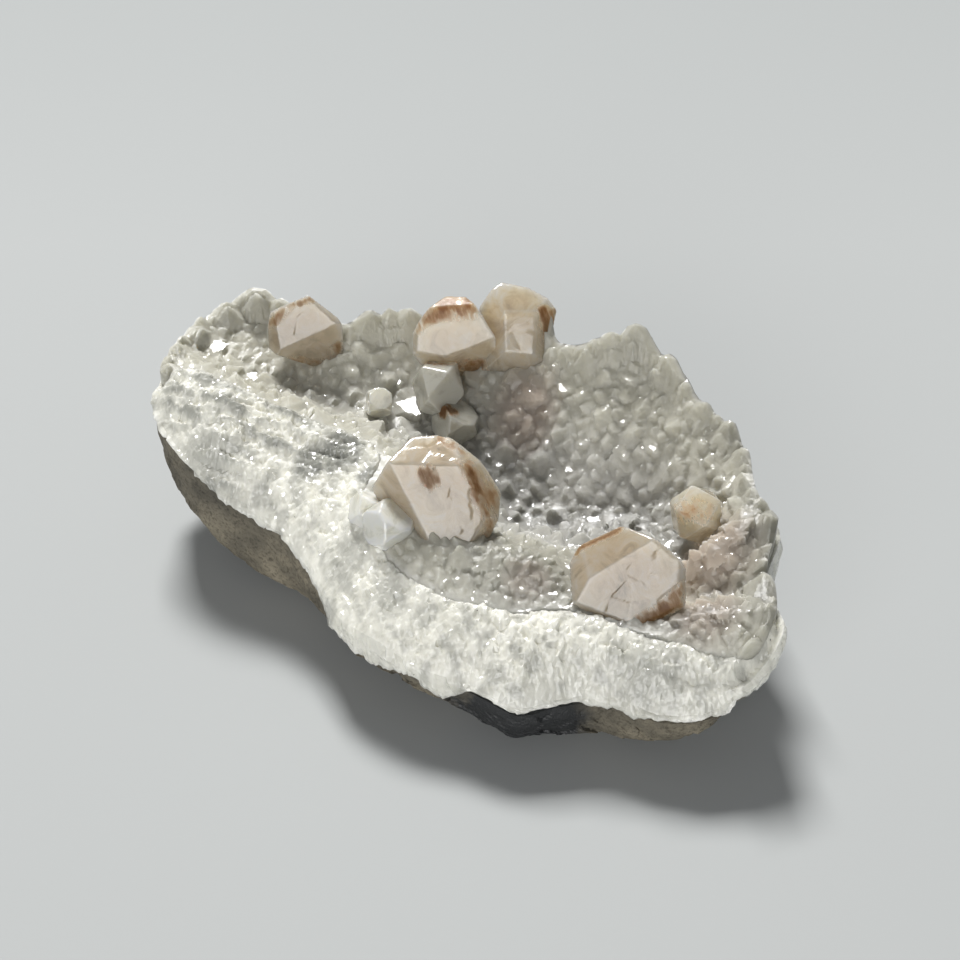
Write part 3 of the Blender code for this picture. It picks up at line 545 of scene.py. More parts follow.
def near_lines(points, lines):
    """How near each point is to the nearest line: the line's strength on it, 0 at its
    radius."""
    strength = np.zeros(len(points))
    for start, end, radius, most in lines:
        side = np.array(end) - start
        along = np.clip((points - start) @ side / (side @ side), 0.0, 1.0)
        away = np.linalg.norm(points - start - along[:, None] * side, axis=1)
        strength = np.maximum(strength, (1.0 - away / radius) * most)
    return strength


# Meshes and materials


def clear_piece(name):
    """Take away an earlier build of the piece."""
    old = bpy.data.objects.get(name)
    if old is not None:
        bpy.data.objects.remove(old)


def add_piece(name, points, triangles, attributes=None, smooth=False):
    """Object from points in millimetres and triangles, with numbers kept per vertex."""
    clear_piece(name)
    mesh = bpy.data.meshes.new(name)
    mesh.vertices.add(len(points))
    mesh.vertices.foreach_set("co", ((points + SHIFT) * MM).ravel())
    mesh.loops.add(triangles.size)
    mesh.loops.foreach_set("vertex_index", triangles.ravel())
    mesh.polygons.add(len(triangles))
    mesh.polygons.foreach_set("loop_start", np.arange(0, triangles.size, 3))
    mesh.polygons.foreach_set("use_smooth", np.full(len(triangles), smooth))
    mesh.update(calc_edges=True)
    for label, values in (attributes or {}).items():
        values = np.asarray(values, np.float32)
        kind, field = ("FLOAT", "value") if values.ndim == 1 else ("FLOAT_VECTOR", "vector")
        mesh.attributes.new(label, kind, "POINT").data.foreach_set(field, values.ravel())
    if mesh.validate():
        raise RuntimeError(f"{name} has faces that don't close")
    thing = bpy.data.objects.new(name, mesh)
    bpy.context.scene.collection.objects.link(thing)
    return thing


def finish_piece(thing, material, node):
    """Give the piece its material and its place in the frame."""
    thing.data.materials.clear()
    thing.data.materials.append(material)
    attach(thing, "root")
    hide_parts(node)


def colour(code):
    """Linear RGBA of an sRGB hex colour such as #a0b0c0."""
    channels = [int(code[place:place + 2], 16) / 255.0 for place in (1, 3, 5)]
    linear = [c / 12.92 if c <= 0.04045 else ((c + 0.055) / 1.055) ** 2.4 for c in channels]
    return (*linear, 1.0)


def per_mm(size):
    """Scale that gives a pattern features of this size in millimetres."""
    return 1.0 / (size * MM)


def start_material(name):
    """Node material with its node tree and its Principled shader."""
    old = bpy.data.materials.get(name)
    if old is not None:
        bpy.data.materials.remove(old)
    material = bpy.data.materials.new(name)
    material.use_nodes = True
    return material, material.node_tree, material.node_tree.nodes["Principled BSDF"]


def set_inputs(tree, node, inputs):
    """Give the node's inputs values or links; a node stands for its first output in use."""
    for name, value in inputs.items():
        if isinstance(value, bpy.types.Node):
            value = next(output for output in value.outputs if output.enabled)
        if isinstance(value, bpy.types.NodeSocket):
            tree.links.new(value, node.inputs[name])
        else:
            node.inputs[name].default_value = value


def add_node(tree, kind, inputs=None, stops=None, **settings):
    """Add a node with its settings, its ramp stops and its inputs."""
    made = tree.nodes.new(kind)
    for name, value in settings.items():
        setattr(made, name, value)
    if stops:
        elements = made.color_ramp.elements
        while len(elements) < len(stops):
            elements.new(1.0)
        for element, (position, value) in zip(elements, stops):
            element.position = position
            element.color = value
    set_inputs(tree, made, inputs or {})
    return made


def basalt_material(colours):
    """Fine-grained basalt, broken and weathered: dull, with paler patches and fine specks,
    and a darker glassy patch low on the front."""
    material, tree, shader = start_material("weathered basalt")
    place = add_node(tree, "ShaderNodeTexCoord").outputs["Object"]
    broad = add_node(tree, "ShaderNodeTexNoise", {
        "Vector": place, "Scale": per_mm(11.0), "Detail": 7.0, "Roughness": 0.62,
    })
    base = add_node(tree, "ShaderNodeValToRGB", {"Fac": broad}, stops=(
        (0.34, (*colours.basalt_dark, 1.0)), (0.50, colour("#706a5c")),
        (0.62, (*colours.basalt_light, 1.0)), (0.74, colour("#9f9683")),
    ))
    grain = add_node(tree, "ShaderNodeTexNoise", {
        "Vector": place, "Scale": per_mm(0.7), "Detail": 3.0, "Roughness": 0.7,
    })
    specks = add_node(tree, "ShaderNodeValToRGB", {"Fac": grain}, stops=(
        (0.34, colour("#6e6961")), (0.52, colour("#ffffff")),
    ))
    flecked = add_node(tree, "ShaderNodeMix", {
        "Factor": 0.6, "A": base, "B": specks,
    }, data_type="RGBA", blend_type="MULTIPLY")
    patch_place = add_node(tree, "ShaderNodeMapping", {
        "Vector": place, "Location": tuple((np.array(SLATE_PLACE) + SHIFT) * -MM),
    })
    stretched = add_node(tree, "ShaderNodeMapping", {
        "Vector": patch_place, "Scale": tuple(per_mm(reach) for reach in SLATE_REACH),
    })
    away = add_node(tree, "ShaderNodeVectorMath", {0: stretched}, operation="LENGTH")
    wavy = add_node(tree, "ShaderNodeMath", {0: away, 1: broad}, operation="ADD")
    patch = add_node(tree, "ShaderNodeMapRange", {
        "Value": wavy, "From Min": 1.55, "From Max": 1.25,
    })
    mixed = add_node(tree, "ShaderNodeMix", {
        "Factor": patch, "A": flecked, "B": colour("#2a2b2c"),
    }, data_type="RGBA")
    dull = add_node(tree, "ShaderNodeMapRange", {"Value": patch, "To Min": 0.85, "To Max": 0.38})
    bump = add_node(tree, "ShaderNodeBump", {
        "Height": grain, "Strength": 0.8, "Distance": 0.00035,
    })
    set_inputs(tree, shader, {"Base Color": mixed, "Roughness": dull, "Normal": bump})
    return material


def sparkle(tree, place, size, share, tilt):
    """Normal tipped at random in each grain, far more in the given share of grains, so
    that single grains flash."""
    cells = add_node(tree, "ShaderNodeTexVoronoi", {"Vector": place, "Scale": per_mm(size)})
    parts = add_node(tree, "ShaderNodeSeparateColor", {"Color": cells.outputs["Color"]})
    chosen = add_node(tree, "ShaderNodeMapRange", {
        "Value": parts.outputs["Red"], "From Min": 1.0 - share, "From Max": 1.02 - share,
    })
    amount = add_node(tree, "ShaderNodeMapRange", {
        "Value": chosen, "To Min": tilt * 0.15, "To Max": tilt,
    })
    centred = add_node(tree, "ShaderNodeVectorMath", {
        0: cells.outputs["Color"], 1: (0.5, 0.5, 0.5),
    }, operation="SUBTRACT")
    tipped = add_node(tree, "ShaderNodeVectorMath", {
        0: centred, "Scale": amount,
    }, operation="SCALE")
    facing = add_node(tree, "ShaderNodeNewGeometry").outputs["Normal"]
    total = add_node(tree, "ShaderNodeVectorMath", {0: facing, 1: tipped}, operation="ADD")
    return add_node(tree, "ShaderNodeVectorMath", {0: total}, operation="NORMALIZE")


def softened(tree, share):
    """Normal of the face mixed with the broad one of the whole form, because light that
    wanders inside a clear body evens out its faces."""
    broad = add_node(tree, "ShaderNodeAttribute", attribute_name="broad").outputs["Vector"]
    facing = add_node(tree, "ShaderNodeNewGeometry").outputs["Normal"]
    total = add_node(tree, "ShaderNodeVectorMath", {
        0: broad, 1: (share / (1.0 - share),) * 3, 2: facing,
    }, operation="MULTIPLY_ADD")
    return add_node(tree, "ShaderNodeVectorMath", {0: total}, operation="NORMALIZE")


def white_quartz_material(colours):
    """Massive white quartz, freshly broken: milky and sugary with single flashing grains,
    grey where it is clear, and a few dark specks."""
    material, tree, shader = start_material("broken milky quartz")
    place = add_node(tree, "ShaderNodeTexCoord").outputs["Object"]
    clarity = add_node(tree, "ShaderNodeAttribute", attribute_name="clarity").outputs["Fac"]
    clouds = add_node(tree, "ShaderNodeTexNoise", {
        "Vector": place, "Scale": per_mm(2.2), "Detail": 5.0, "Roughness": 0.65,
    })
    milk = add_node(tree, "ShaderNodeValToRGB", {"Fac": clouds}, stops=(
        (0.30, colour("#d9d7ca")), (0.55, (*colours.white_quartz, 1.0)),
    ))
    glassy = add_node(tree, "ShaderNodeValToRGB", {"Fac": clouds}, stops=(
        (0.38, colour("#696a64")), (0.62, colour("#8a8a81")),
    ))
    body = add_node(tree, "ShaderNodeMix", {
        "Factor": clarity, "A": milk, "B": glassy,
    }, data_type="RGBA")
    dust = add_node(tree, "ShaderNodeTexNoise", {
        "Vector": place, "Scale": per_mm(0.55), "Detail": 1.0,
    })
    specks = add_node(tree, "ShaderNodeValToRGB", {"Fac": dust}, stops=(
        (0.17, colour("#4a4744")), (0.20, colour("#ffffff")),
    ))
    mixed = add_node(tree, "ShaderNodeMix", {
        "Factor": 1.0, "A": body, "B": specks,
    }, data_type="RGBA", blend_type="MULTIPLY")
    set_inputs(tree, shader, {
        "Base Color": mixed, "Roughness": 0.5, "IOR": QUARTZ_IOR,
        "Coat Weight": 0.9, "Coat Roughness": 0.12, "Coat IOR": QUARTZ_IOR,
        "Coat Normal": sparkle(tree, place, 0.45, 0.3, 1.2),
        "Subsurface Weight": 0.6, "Subsurface Radius": (1.0, 1.0, 0.95),
        "Subsurface Scale": 0.0018,
    })
    return material


def druse_material(colours):
    """Drusy quartz: glassy grey-green points, each a little different, paler where they
    are frosted and grey low in the hollow. Level, upward-facing ground is darkened as
    painted shade, and the valleys between the points are lightened as painted light."""
    material, tree, shader = start_material("drusy quartz")
    place = add_node(tree, "ShaderNodeTexCoord").outputs["Object"]
    tone, tip, frost, hollow, blush, level = (
        add_node(tree, "ShaderNodeAttribute", attribute_name=mark).outputs["Fac"]
        for mark in ("tone", "tip", "frost", "hollow", "blush", "level")
    )
    body = (*colours.druse, 1.0)
    for amount, tint in (
        (hollow, (*colours.druse_deep, 1.0)), (blush, colour("#b9a798")),
        (frost, colour("#e6e4d9")),
    ):
        body = add_node(tree, "ShaderNodeMix", {
            "Factor": amount, "A": body, "B": tint,
        }, data_type="RGBA")
    flakes = add_node(tree, "ShaderNodeTexVoronoi", {"Vector": place, "Scale": per_mm(0.9)})
    flake = add_node(tree, "ShaderNodeSeparateColor", {"Color": flakes.outputs["Color"]})
    # Painted light and shade: a low tip (the valleys between points) is painted up to 8% lighter,
    # and level ground is painted up to 38% darker; tone and flakes vary at random
    for amount, low, high in (
        (tone, 0.93, 1.0), (tip, 1.08, 1.0), (level, 1.0, 0.62), (flake.outputs["Red"], 0.93, 1.0),
    ):
        shade = add_node(tree, "ShaderNodeMapRange", {
            "Value": amount, "To Min": low, "To Max": high,
        })
        body = add_node(tree, "ShaderNodeVectorMath", {
            0: body, "Scale": shade,
        }, operation="SCALE")
    fine = add_node(tree, "ShaderNodeTexNoise", {
        "Vector": place, "Scale": per_mm(0.8), "Detail": 3.0,
    })
    gloss = add_node(tree, "ShaderNodeMapRange", {
        "Value": fine, "From Min": 0.3, "From Max": 0.7, "To Min": 0.3, "To Max": 0.5,
    })
    bump = add_node(tree, "ShaderNodeBump", {
        "Height": flakes, "Strength": 0.35, "Distance": 0.00018, "Normal": softened(tree, 0.71),
    })
    set_inputs(tree, shader, {
        "Base Color": body, "Roughness": gloss, "Normal": bump, "IOR": QUARTZ_IOR,
        "Specular IOR Level": 0.3, "Transmission Weight": 0.15,
        "Coat Weight": 0.6, "Coat Roughness": 0.12, "Coat IOR": 1.5,
        "Subsurface Weight": 0.9, "Subsurface Radius": (1.0, 1.0, 0.95),
        "Subsurface Scale": 0.003,
    })
    return material


def crystal_material(name, body, stain, clear, haze, depth):
    """Apophyllite: glassy faces over a body with milky veils, brown in streaks where
    iron has stained it, and sharp edges lightened as a painted highlight. The share that
    is clear lets light through, haze is the most roughness of its faces, and depth is
    how far light wanders inside it, in millimetres."""
    material, tree, shader = start_material(name)
    place = add_node(tree, "ShaderNodeTexCoord").outputs["Object"]
    stained, edge, milk = (
        add_node(tree, "ShaderNodeAttribute", attribute_name=mark).outputs["Fac"]
        for mark in ("stain", "edge", "milk")
    )
    veils = add_node(tree, "ShaderNodeTexNoise", {
        "Vector": place, "Scale": per_mm(4.5), "Detail": 6.0, "Roughness": 0.65,
        "Distortion": 1.2,
    })
    tint = add_node(tree, "ShaderNodeValToRGB", {"Fac": veils}, stops=(
        (0.32, tuple(0.70 * c for c in body) + (1.0,)), (0.50, (*body, 1.0)),
        (0.72, tuple(0.5 * c + 0.5 for c in body) + (1.0,)),
    ))

    # Stain: the painted amount, broken up into streaks along one direction
    streak_place = add_node(tree, "ShaderNodeMapping", {
        "Vector": place, "Rotation": (math.radians(-30.0), 0.0, math.radians(41.0)),
        "Scale": (1.0, 1.0, 3.0),
    }, vector_type="TEXTURE")
    streaks = add_node(tree, "ShaderNodeTexNoise", {
        "Vector": streak_place, "Scale": per_mm(1.1), "Detail": 6.0, "Roughness": 0.65,
    })
    broken = add_node(tree, "ShaderNodeMapRange", {
        "Value": streaks, "From Min": 0.36, "From Max": 0.64, "To Min": 0.3, "To Max": -0.5,
    })
    spread = add_node(tree, "ShaderNodeMapRange", {"Value": stained, "From Max": 0.5})
    weight = add_node(tree, "ShaderNodeMath", {
        0: spread, 1: broken, 2: stained,
    }, operation="MULTIPLY_ADD", use_clamp=True)
    rust = add_node(tree, "ShaderNodeValToRGB", {"Fac": weight}, stops=(
        (0.0, colour("#eedcc4")), (0.45, colour("#d3ae83")), (1.0, (*stain, 1.0)),
    ))
    faint = add_node(tree, "ShaderNodeMapRange", {
        "Value": weight, "From Min": 0.02, "From Max": 0.6,
    })
    mixed = add_node(tree, "ShaderNodeMix", {
        "Factor": faint, "A": tint, "B": rust,
    }, data_type="RGBA")

    # Painted highlight: sharp edges are lightened towards white where unstained; less milky
    # crystals are darker, and their milk is partly painted light and shade
    plain = add_node(tree, "ShaderNodeMapRange", {"Value": faint, "To Min": 0.35, "To Max": 0.0})
    edge_highlight = add_node(tree, "ShaderNodeMath", {0: edge, 1: plain}, operation="MULTIPLY")
    edge_lit = add_node(tree, "ShaderNodeMix", {
        "Factor": edge_highlight, "A": mixed, "B": colour("#fffaf2"),
    }, data_type="RGBA")
    dimmed = add_node(tree, "ShaderNodeVectorMath", {0: edge_lit, "Scale": milk}, operation="SCALE")

    gloss = add_node(tree, "ShaderNodeMapRange", {
        "Value": veils, "From Min": 0.3, "From Max": 0.7, "To Min": haze * 0.7, "To Max": haze,
    })
    dull = add_node(tree, "ShaderNodeMath", {
        0: faint, 1: 0.4, 2: gloss,
    }, operation="MULTIPLY_ADD", use_clamp=True)
    coat = add_node(tree, "ShaderNodeMapRange", {"Value": faint, "To Min": 0.9, "To Max": 0.1})
    bump = add_node(tree, "ShaderNodeBump", {
        "Height": streaks, "Strength": 0.25, "Distance": 0.0001,
    })
    set_inputs(tree, shader, {
        "Base Color": dimmed, "Roughness": dull, "Normal": bump, "IOR": APOPHYLLITE_IOR,
        "Specular IOR Level": 0.2, "Transmission Weight": clear,
        "Coat Weight": coat, "Coat Roughness": 0.06, "Coat IOR": APOPHYLLITE_IOR,
        "Subsurface Weight": 0.9, "Subsurface Radius": (1.0, 0.95, 0.84),
        "Subsurface Scale": depth * MM,
    })
    return material


def floor_material(colours):
    """Matt backdrop card with the faintest tooth, painted a little darker far behind as painted
    shade.
    """
    material, tree, shader = start_material("backdrop card")
    place = add_node(tree, "ShaderNodeTexCoord").outputs["Object"]
    tooth = add_node(tree, "ShaderNodeTexNoise", {
        "Vector": place, "Scale": per_mm(1.5), "Detail": 2.0,
    })
    bump = add_node(tree, "ShaderNodeBump", {
        "Height": tooth, "Strength": 0.1, "Distance": 0.0001,
    })
    apart = add_node(tree, "ShaderNodeSeparateXYZ", {"Vector": place})
    far = add_node(tree, "ShaderNodeMapRange", {
        "Value": apart.outputs["Y"], "From Min": FLOOR_PAINTED_SHADE_SPAN[0], "From Max": FLOOR_PAINTED_SHADE_SPAN[1],
    })
    # Painted shade: the card is painted greyer further behind
    shade = add_node(tree, "ShaderNodeMix", {
        "Factor": far, "A": (*colours.floor, 1.0), "B": colour("#9a9d9c"),
    }, data_type="RGBA")
    set_inputs(tree, shader, {"Base Color": shade, "Roughness": 0.9, "Normal": bump})
    return material


# Settings


def colour_setting(name, description, code):
    """Colour that a user can change, with its default as an sRGB hex colour."""
    return bpy.props.FloatVectorProperty(
        name=name, description=description, default=colour(code)[:3],
        subtype="COLOR", min=0.0, max=1.0)


class ClusterColours(bpy.types.PropertyGroup):
    """Colours of the rock, the crystals and the backdrop."""

    basalt_dark: colour_setting("Basalt, dark", "Darker tone of the basalt", "#534f45")
    basalt_light: colour_setting(
        "Basalt, light", "Lighter, weathered tone of the basalt", "#8b8371")
    white_quartz: colour_setting("White quartz", "Freshly broken milky quartz", "#efede2")
    druse: colour_setting("Druse", "Body colour of the quartz points", "#cbc8b9")
    druse_deep: colour_setting(
        "Druse, deep", "Body colour of the quartz points low in the hollow", "#cac8c0")
    peach: colour_setting("Peach crystal", "Body colour of the large crystals", "#f5e2c5")
    clear: colour_setting("Clear crystal", "Body colour of the small clear crystals", "#fffcee")
    stain: colour_setting("Iron stain", "Brown of the stains on the crystals", "#9c6c3f")
    floor: colour_setting("Backdrop", "Colour of the backdrop card", "#adafae")


class ClusterSizes(bpy.types.PropertyGroup):
    """Sizes of the fine relief."""

    point_width: bpy.props.FloatProperty(
        name="Quartz point width", description="Typical width of one quartz point",
        default=0.0025, min=0.001, max=0.006, unit="LENGTH", precision=5)
    grain: bpy.props.FloatProperty(
        name="White grain", description="Size of the grains of the white quartz",
        default=0.0013, min=0.0005, max=0.005, unit="LENGTH", precision=5)
    chip: bpy.props.FloatProperty(
        name="Basalt chip", description="Size of the chipped faces of the basalt",
        default=0.005, min=0.001, max=0.02, unit="LENGTH", precision=5)


# Pieces


class CLUSTER_OT_basalt(bpy.types.Operator):
    """Build the basalt rind that the specimen rests on"""

    bl_idname = "cluster.basalt"
    bl_label = "Basalt rind"

    def execute(self, context):
        chip = context.scene.cluster_sizes.chip / MM
        count = len(TOP_PLAN)
        inner = grid_inside(TOP_PLAN[::6], 6.0, 3.0, 21)
        plan = np.concatenate([TOP_PLAN, inner])
        cover = np.column_stack([plan, white_underside(plan) - GAP * 0.3])
        faces = [triangles_inside(plan, count)]

        cosine = math.cos(LONG_AXIS_TURN)
        sine = math.sin(LONG_AXIS_TURN)
        turn = np.array([[cosine, -sine], [sine, cosine]])
        half_axes = np.array(FOOT_HALF_AXES)
        away = unit((TOP_PLAN - FOOT_CENTRE) @ turn / half_axes)
        foot = (away * half_axes) @ turn.T + FOOT_CENTRE
        outward = unit(TOP_PLAN - foot)

        # Side: a quarter turn from the top edge to the foot, chipped and rippled
        bend = (math.pi / 2.0 * np.arange(1, ROCK_ROWS + 1) / ROCK_ROWS)[:, None]
        share = (1.0 - np.cos(bend)) ** TOP_RING[None, :, 3]
        side = TOP_PLAN[None] + (foot - TOP_PLAN)[None] * share[..., None]
        height = (cover[None, :count, 2] + FOOT_DEPTH) * (1.0 - np.sin(bend)) - FOOT_DEPTH
        shell = np.dstack([side, height]).reshape(-1, 3)
        belly = np.repeat(np.sin(2.0 * bend[:, 0]), count)
        chips = facets(shell, chip, 4) * 0.45 + facets(shell, chip * 0.36, 5) * 0.22
        relief = ripple(shell, 14.0, 8) * 0.9 * belly + chips * np.clip(belly * 1.6, 0.0, 1.0)
        shell[:, :2] += np.tile(outward, (ROCK_ROWS, 1)) * relief[:, None]

        start = len(cover)
        previous = np.arange(count)
        for row in range(ROCK_ROWS):
            current = start + row * count + np.arange(count)
            faces.append(wall_faces(previous, current))
            previous = current
        points = np.concatenate([cover, shell, [[*FOOT_CENTRE, -FOOT_DEPTH]]])
        middle = np.full(count, len(points) - 1)
        faces.append(np.stack([previous, middle, np.roll(previous, -1)], 1))
        thing = add_piece("basalt_rock", points, np.concatenate(faces))
        material = basalt_material(context.scene.cluster_colours)
        finish_piece(thing, material, "basalt_rind")
        return {"FINISHED"}


def white_clarity(flat, streaks, streaked):
    """How clear, and so how grey, the white quartz is: most in its grey patches, less in
    the faint ones, in the streaks of the broken crests and in broad clouds. On the
    top-facing left of the band the greyness is partly painted shade."""
    grey = near_spots(flat, GREY_PATCHES) * 1.7 + ripple(flat, 3.0, 63) * 0.25
    faint = near_spots(flat, FAINT_PATCHES) * 0.7 + ripple(flat, 2.5, 64) * 0.2
    return np.max([
        np.clip(grey, 0.0, 0.9), np.clip(faint, 0.0, 0.5),
        streaked * np.clip(0.15 + streaks * 1.4, 0.0, 0.75),
        np.clip(ripple(flat, 4.5, 61) * 1.2 - 0.2, 0.0, 0.45),
    ], axis=0)


def lip_hang():
    """How far the white lip hangs down at each point of the top edge: the thickness of
    its layer, made uneven by two ripples, and longer or shorter in a few places."""
    uneven = (0.45 - 0.3 * druse_rim(TOP_PLAN)) * ripple(TOP_PLAN, 13.0, 15)
    hang = (top_height(TOP_PLAN) - white_underside(TOP_PLAN)) * (1.0 + uneven)
    hang += 0.5 + 0.5 * ripple(TOP_PLAN, 3.0, 16)
    hang += 3.4 * (near_spots(TOP_PLAN, LONG_LIP) - near_spots(TOP_PLAN, SHORT_LIP))
    return np.maximum(hang, 0.8)


class CLUSTER_OT_white_quartz(bpy.types.Operator):
    """Build the white broken quartz round the druse"""

    bl_idname = "cluster.white_quartz"
    bl_label = "White quartz"

    def execute(self, context):
        grain = context.scene.cluster_sizes.grain / MM
        count = len(TOP_PLAN)
        band = grid_inside(TOP_PLAN[::3], WHITE_SPACING, 0.4, 31)
        near = distance_to_outline(band, DRUSE_PLAN[::4])
        band = band[~inside_outline(band, DRUSE_PLAN[::2]) | (near < 1.2)]
        bed = grid_inside(DRUSE_PLAN[::4], 5.0, 2.5, 22)
        plan = np.concatenate([TOP_PLAN, band, bed])
        faces = [triangles_inside(plan, count)]

        inset = distance_to_outline(plan, TOP_PLAN[::2])
        height = top_height(plan)
        flat = np.column_stack([plan, height])
        streaks = ripple(flat @ CREST_TURN * [0.22, 1.3, 1.3], 3.2, 62)
        streaked = np.clip(near_spots(plan, STREAKED) * 2.0, 0.0, 1.0)
        clarity = white_clarity(flat, streaks, streaked)

        # Break: streaked crests, broad ripples and three sizes of grains, lower along the
        # rim and under the druse
        height += streaks * 0.7 * streaked
        ease = np.clip(inset / 3.0, 0.15, 1.0) * (1.0 - 0.6 * clarity)
        height += ripple(plan, 11.0, 3) * 0.55 * ease
        height += (facets(flat, grain * 2.6, 12) * 0.42 + facets(flat, grain, 13) * 0.28) * ease
        height += facets(flat, grain * 0.55, 14) * 0.12
        height -= EDGE_DROP * druse_rim(plan) * np.clip(1.6 - inset / 1.4, 0.0, 1.0)
        inward = distance_to_outline(plan, DRUSE_PLAN[::2])
        height -= inside_outline(plan, DRUSE_PLAN[::2]) * np.clip(inward, 0.0, 3.0) * 1.1
        points = [np.column_stack([plan, height])]
        marks = [clarity]

        # Lip: the broken edge bulges a little and hangs unevenly over the basalt
        hang = lip_hang()
        previous = np.arange(count)
        start = len(plan)
        for share, bulge in ((0.2, 0.3), (0.4, 0.5), (0.6, 0.55), (0.8, 0.5), (1.0, 0.3)):
            ring = outward_offset(TOP_PLAN, bulge)
            ring = np.column_stack([ring, height[:count] - hang * share])
            ring[:, :2] = outward_offset(ring[:, :2], facets(ring, grain * 1.5, 17) * 0.3)
            points.append(ring)
            marks.append(clarity[:count])
            current = start + np.arange(count)
            faces.append(wall_faces(previous, current))
            previous = current
            start += count
        inner_ring = outward_offset(TOP_PLAN, -0.8)
        points.append(np.column_stack([inner_ring, points[-1][:, 2] + 0.1]))
        current = start + np.arange(count)
        faces.append(wall_faces(previous, current))
        start += count

        # Bed: the underside, from the inner ring of the lip to the middle
        lower = triangles_inside(np.concatenate([inner_ring, bed]), count)
        index = np.concatenate([current, start + np.arange(len(bed))])
        faces.append(index[lower][:, ::-1])
        points.append(np.column_stack([bed, white_underside(bed)]))
        marks.append(np.zeros(count + len(bed)))
        thing = add_piece(
            "white_quartz", np.concatenate(points), np.concatenate(faces),
            {"clarity": np.concatenate(marks)})
        material = white_quartz_material(context.scene.cluster_colours)
        finish_piece(thing, material, "white_quartz_layer")
        return {"FINISHED"}


def frost_at(places):
    """Share of white frost on the druse: strongest on the outer slope of the front crest
    and near the white band, nothing in the hollow."""
    front = np.clip((-9.0 - places[:, 1] - 0.1 * places[:, 0]) / 11.0, 0.0, 1.0)
    front *= np.clip((32.0 - places[:, 0]) / 10.0, 0.15, 1.0)
    rim = np.clip(1.0 - distance_to_outline(places[:, :2], DRUSE_PLAN[::4]) / 4.0, 0.0, 1.0)
    wide = np.clip((distance_to_outline(places[:, :2], TOP_PLAN[::4]) - 2.5) / 3.0, 0.0, 1.0)
    return np.clip(0.8 * front * wide + 0.45 * rim * wide, 0.0, 1.0)


def hollow_at(places):
    """Share of the deep grey-lilac tone: 1 on the floor of the hollow."""
    low = np.clip((24.0 - places[:, 2]) / 9.0, 0.0, 1.0)
    return low * np.clip((places[:, 1] + 8.0) / 8.0, 0.0, 1.0)


def half_way(places):
    """Unit direction half way between the camera and the key light, at each place."""
    camera = CAMERA_AIM + CAMERA_REACH * CAMERA_BACK
    return unit(unit(camera - places) + unit(KEY_PLACE / MM - SHIFT - places))


def point_places(width):
    """Foot of every quartz point, spread at about its width in space, and its width. The
    bright ones come first, then the tall ones, then a row all along the outer edge."""
    chance = np.random.default_rng(5)
    tries = chance.uniform(DRUSE_PLAN.min(axis=0), DRUSE_PLAN.max(axis=0), (46000, 2))
    tries = tries[inside_outline(tries, DRUSE_PLAN[::2])]
    named = np.concatenate([BRIGHT_POINTS, TALL_POINTS])
    row = closed_curve(DRUSE_EDGE, 108)
    row = outward_offset(row, chance.uniform(-0.6, 0.7, len(row)))[near_edge(row, 3.2, 1.0) > 0.5]
    tries = np.concatenate([named[:, :2], row, tries])
    places = np.column_stack([tries, top_height(tries)])
    widths = width * (1.0 + 0.35 * ripple(places, 24.0, 6)) * (1.0 - 0.4 * frost_at(places))
    widths *= chance.uniform(0.6, 1.35, len(places))
    widths[:len(named)] = named[:, 2]
    first = len(named) + len(row)
    widths[len(named):first] = width * chance.uniform(0.5, 1.2, len(row))
    kept = list(range(first))
    for index in range(first, len(places)):
        gaps = np.linalg.norm(places[kept] - places[index], axis=1)
        if np.all(gaps > (widths[index] + widths[kept]) * 0.42):
            kept.append(index)
    return places[kept], widths[kept], first


def point_faces(places, widths, first, seed):
    """Six faces of every quartz point, as normals and distances along them. A face's
    normal is the axis times cos FACE_ANGLE plus a spoke times sin FACE_ANGLE, the spokes
    60 degrees apart; each face is set back a little more or less from the tip. The bright
    points turn one face to the light, and those up to first stand nearly upright."""
    chance = np.random.default_rng(seed)
    count = len(places)
    bright = np.arange(len(BRIGHT_POINTS))
    edge = np.arange(len(BRIGHT_POINTS), first)
    upward = upward_normals(places[:, :2])
    axes = upward + chance.normal(0.0, 0.26, (count, 3))
    axes[edge] += [0.0, 0.0, 1.2]
    axes = unit(axes)
    flash = half_way(places[bright])
    toward = unit(upward[bright] - flash * (upward[bright] * flash).sum(axis=1)[:, None])
    axes[bright] = flash * math.cos(FACE_ANGLE) + toward * math.sin(FACE_ANGLE)
    spoke = unit(np.cross(axes, chance.normal(size=(count, 3))))
    spoke[bright] = unit(flash - axes[bright] * math.cos(FACE_ANGLE))
    across = np.cross(axes, spoke)
    turn = (np.arange(6) * math.pi / 3.0)[None, :, None]
    spokes = spoke[:, None] * np.cos(turn) + across[:, None] * np.sin(turn)
    normals = axes[:, None] * math.cos(FACE_ANGLE) + spokes * math.sin(FACE_ANGLE)
    height = widths * chance.uniform(0.62, 1.0, count)
    height[bright] = widths[bright] * 0.95
    height[edge] = widths[edge] * chance.uniform(0.9, 1.2, len(edge))
    tips = places + axes * height[:, None]
    setback = widths[:, None] * chance.uniform(0.0, 0.28, (count, 6))
    setback[edge] *= 0.3
    setback[bright] = 0.0
    setback[bright, 0] = widths[bright] * 0.3
    return normals, (normals * tips[:, None]).sum(axis=2) - setback


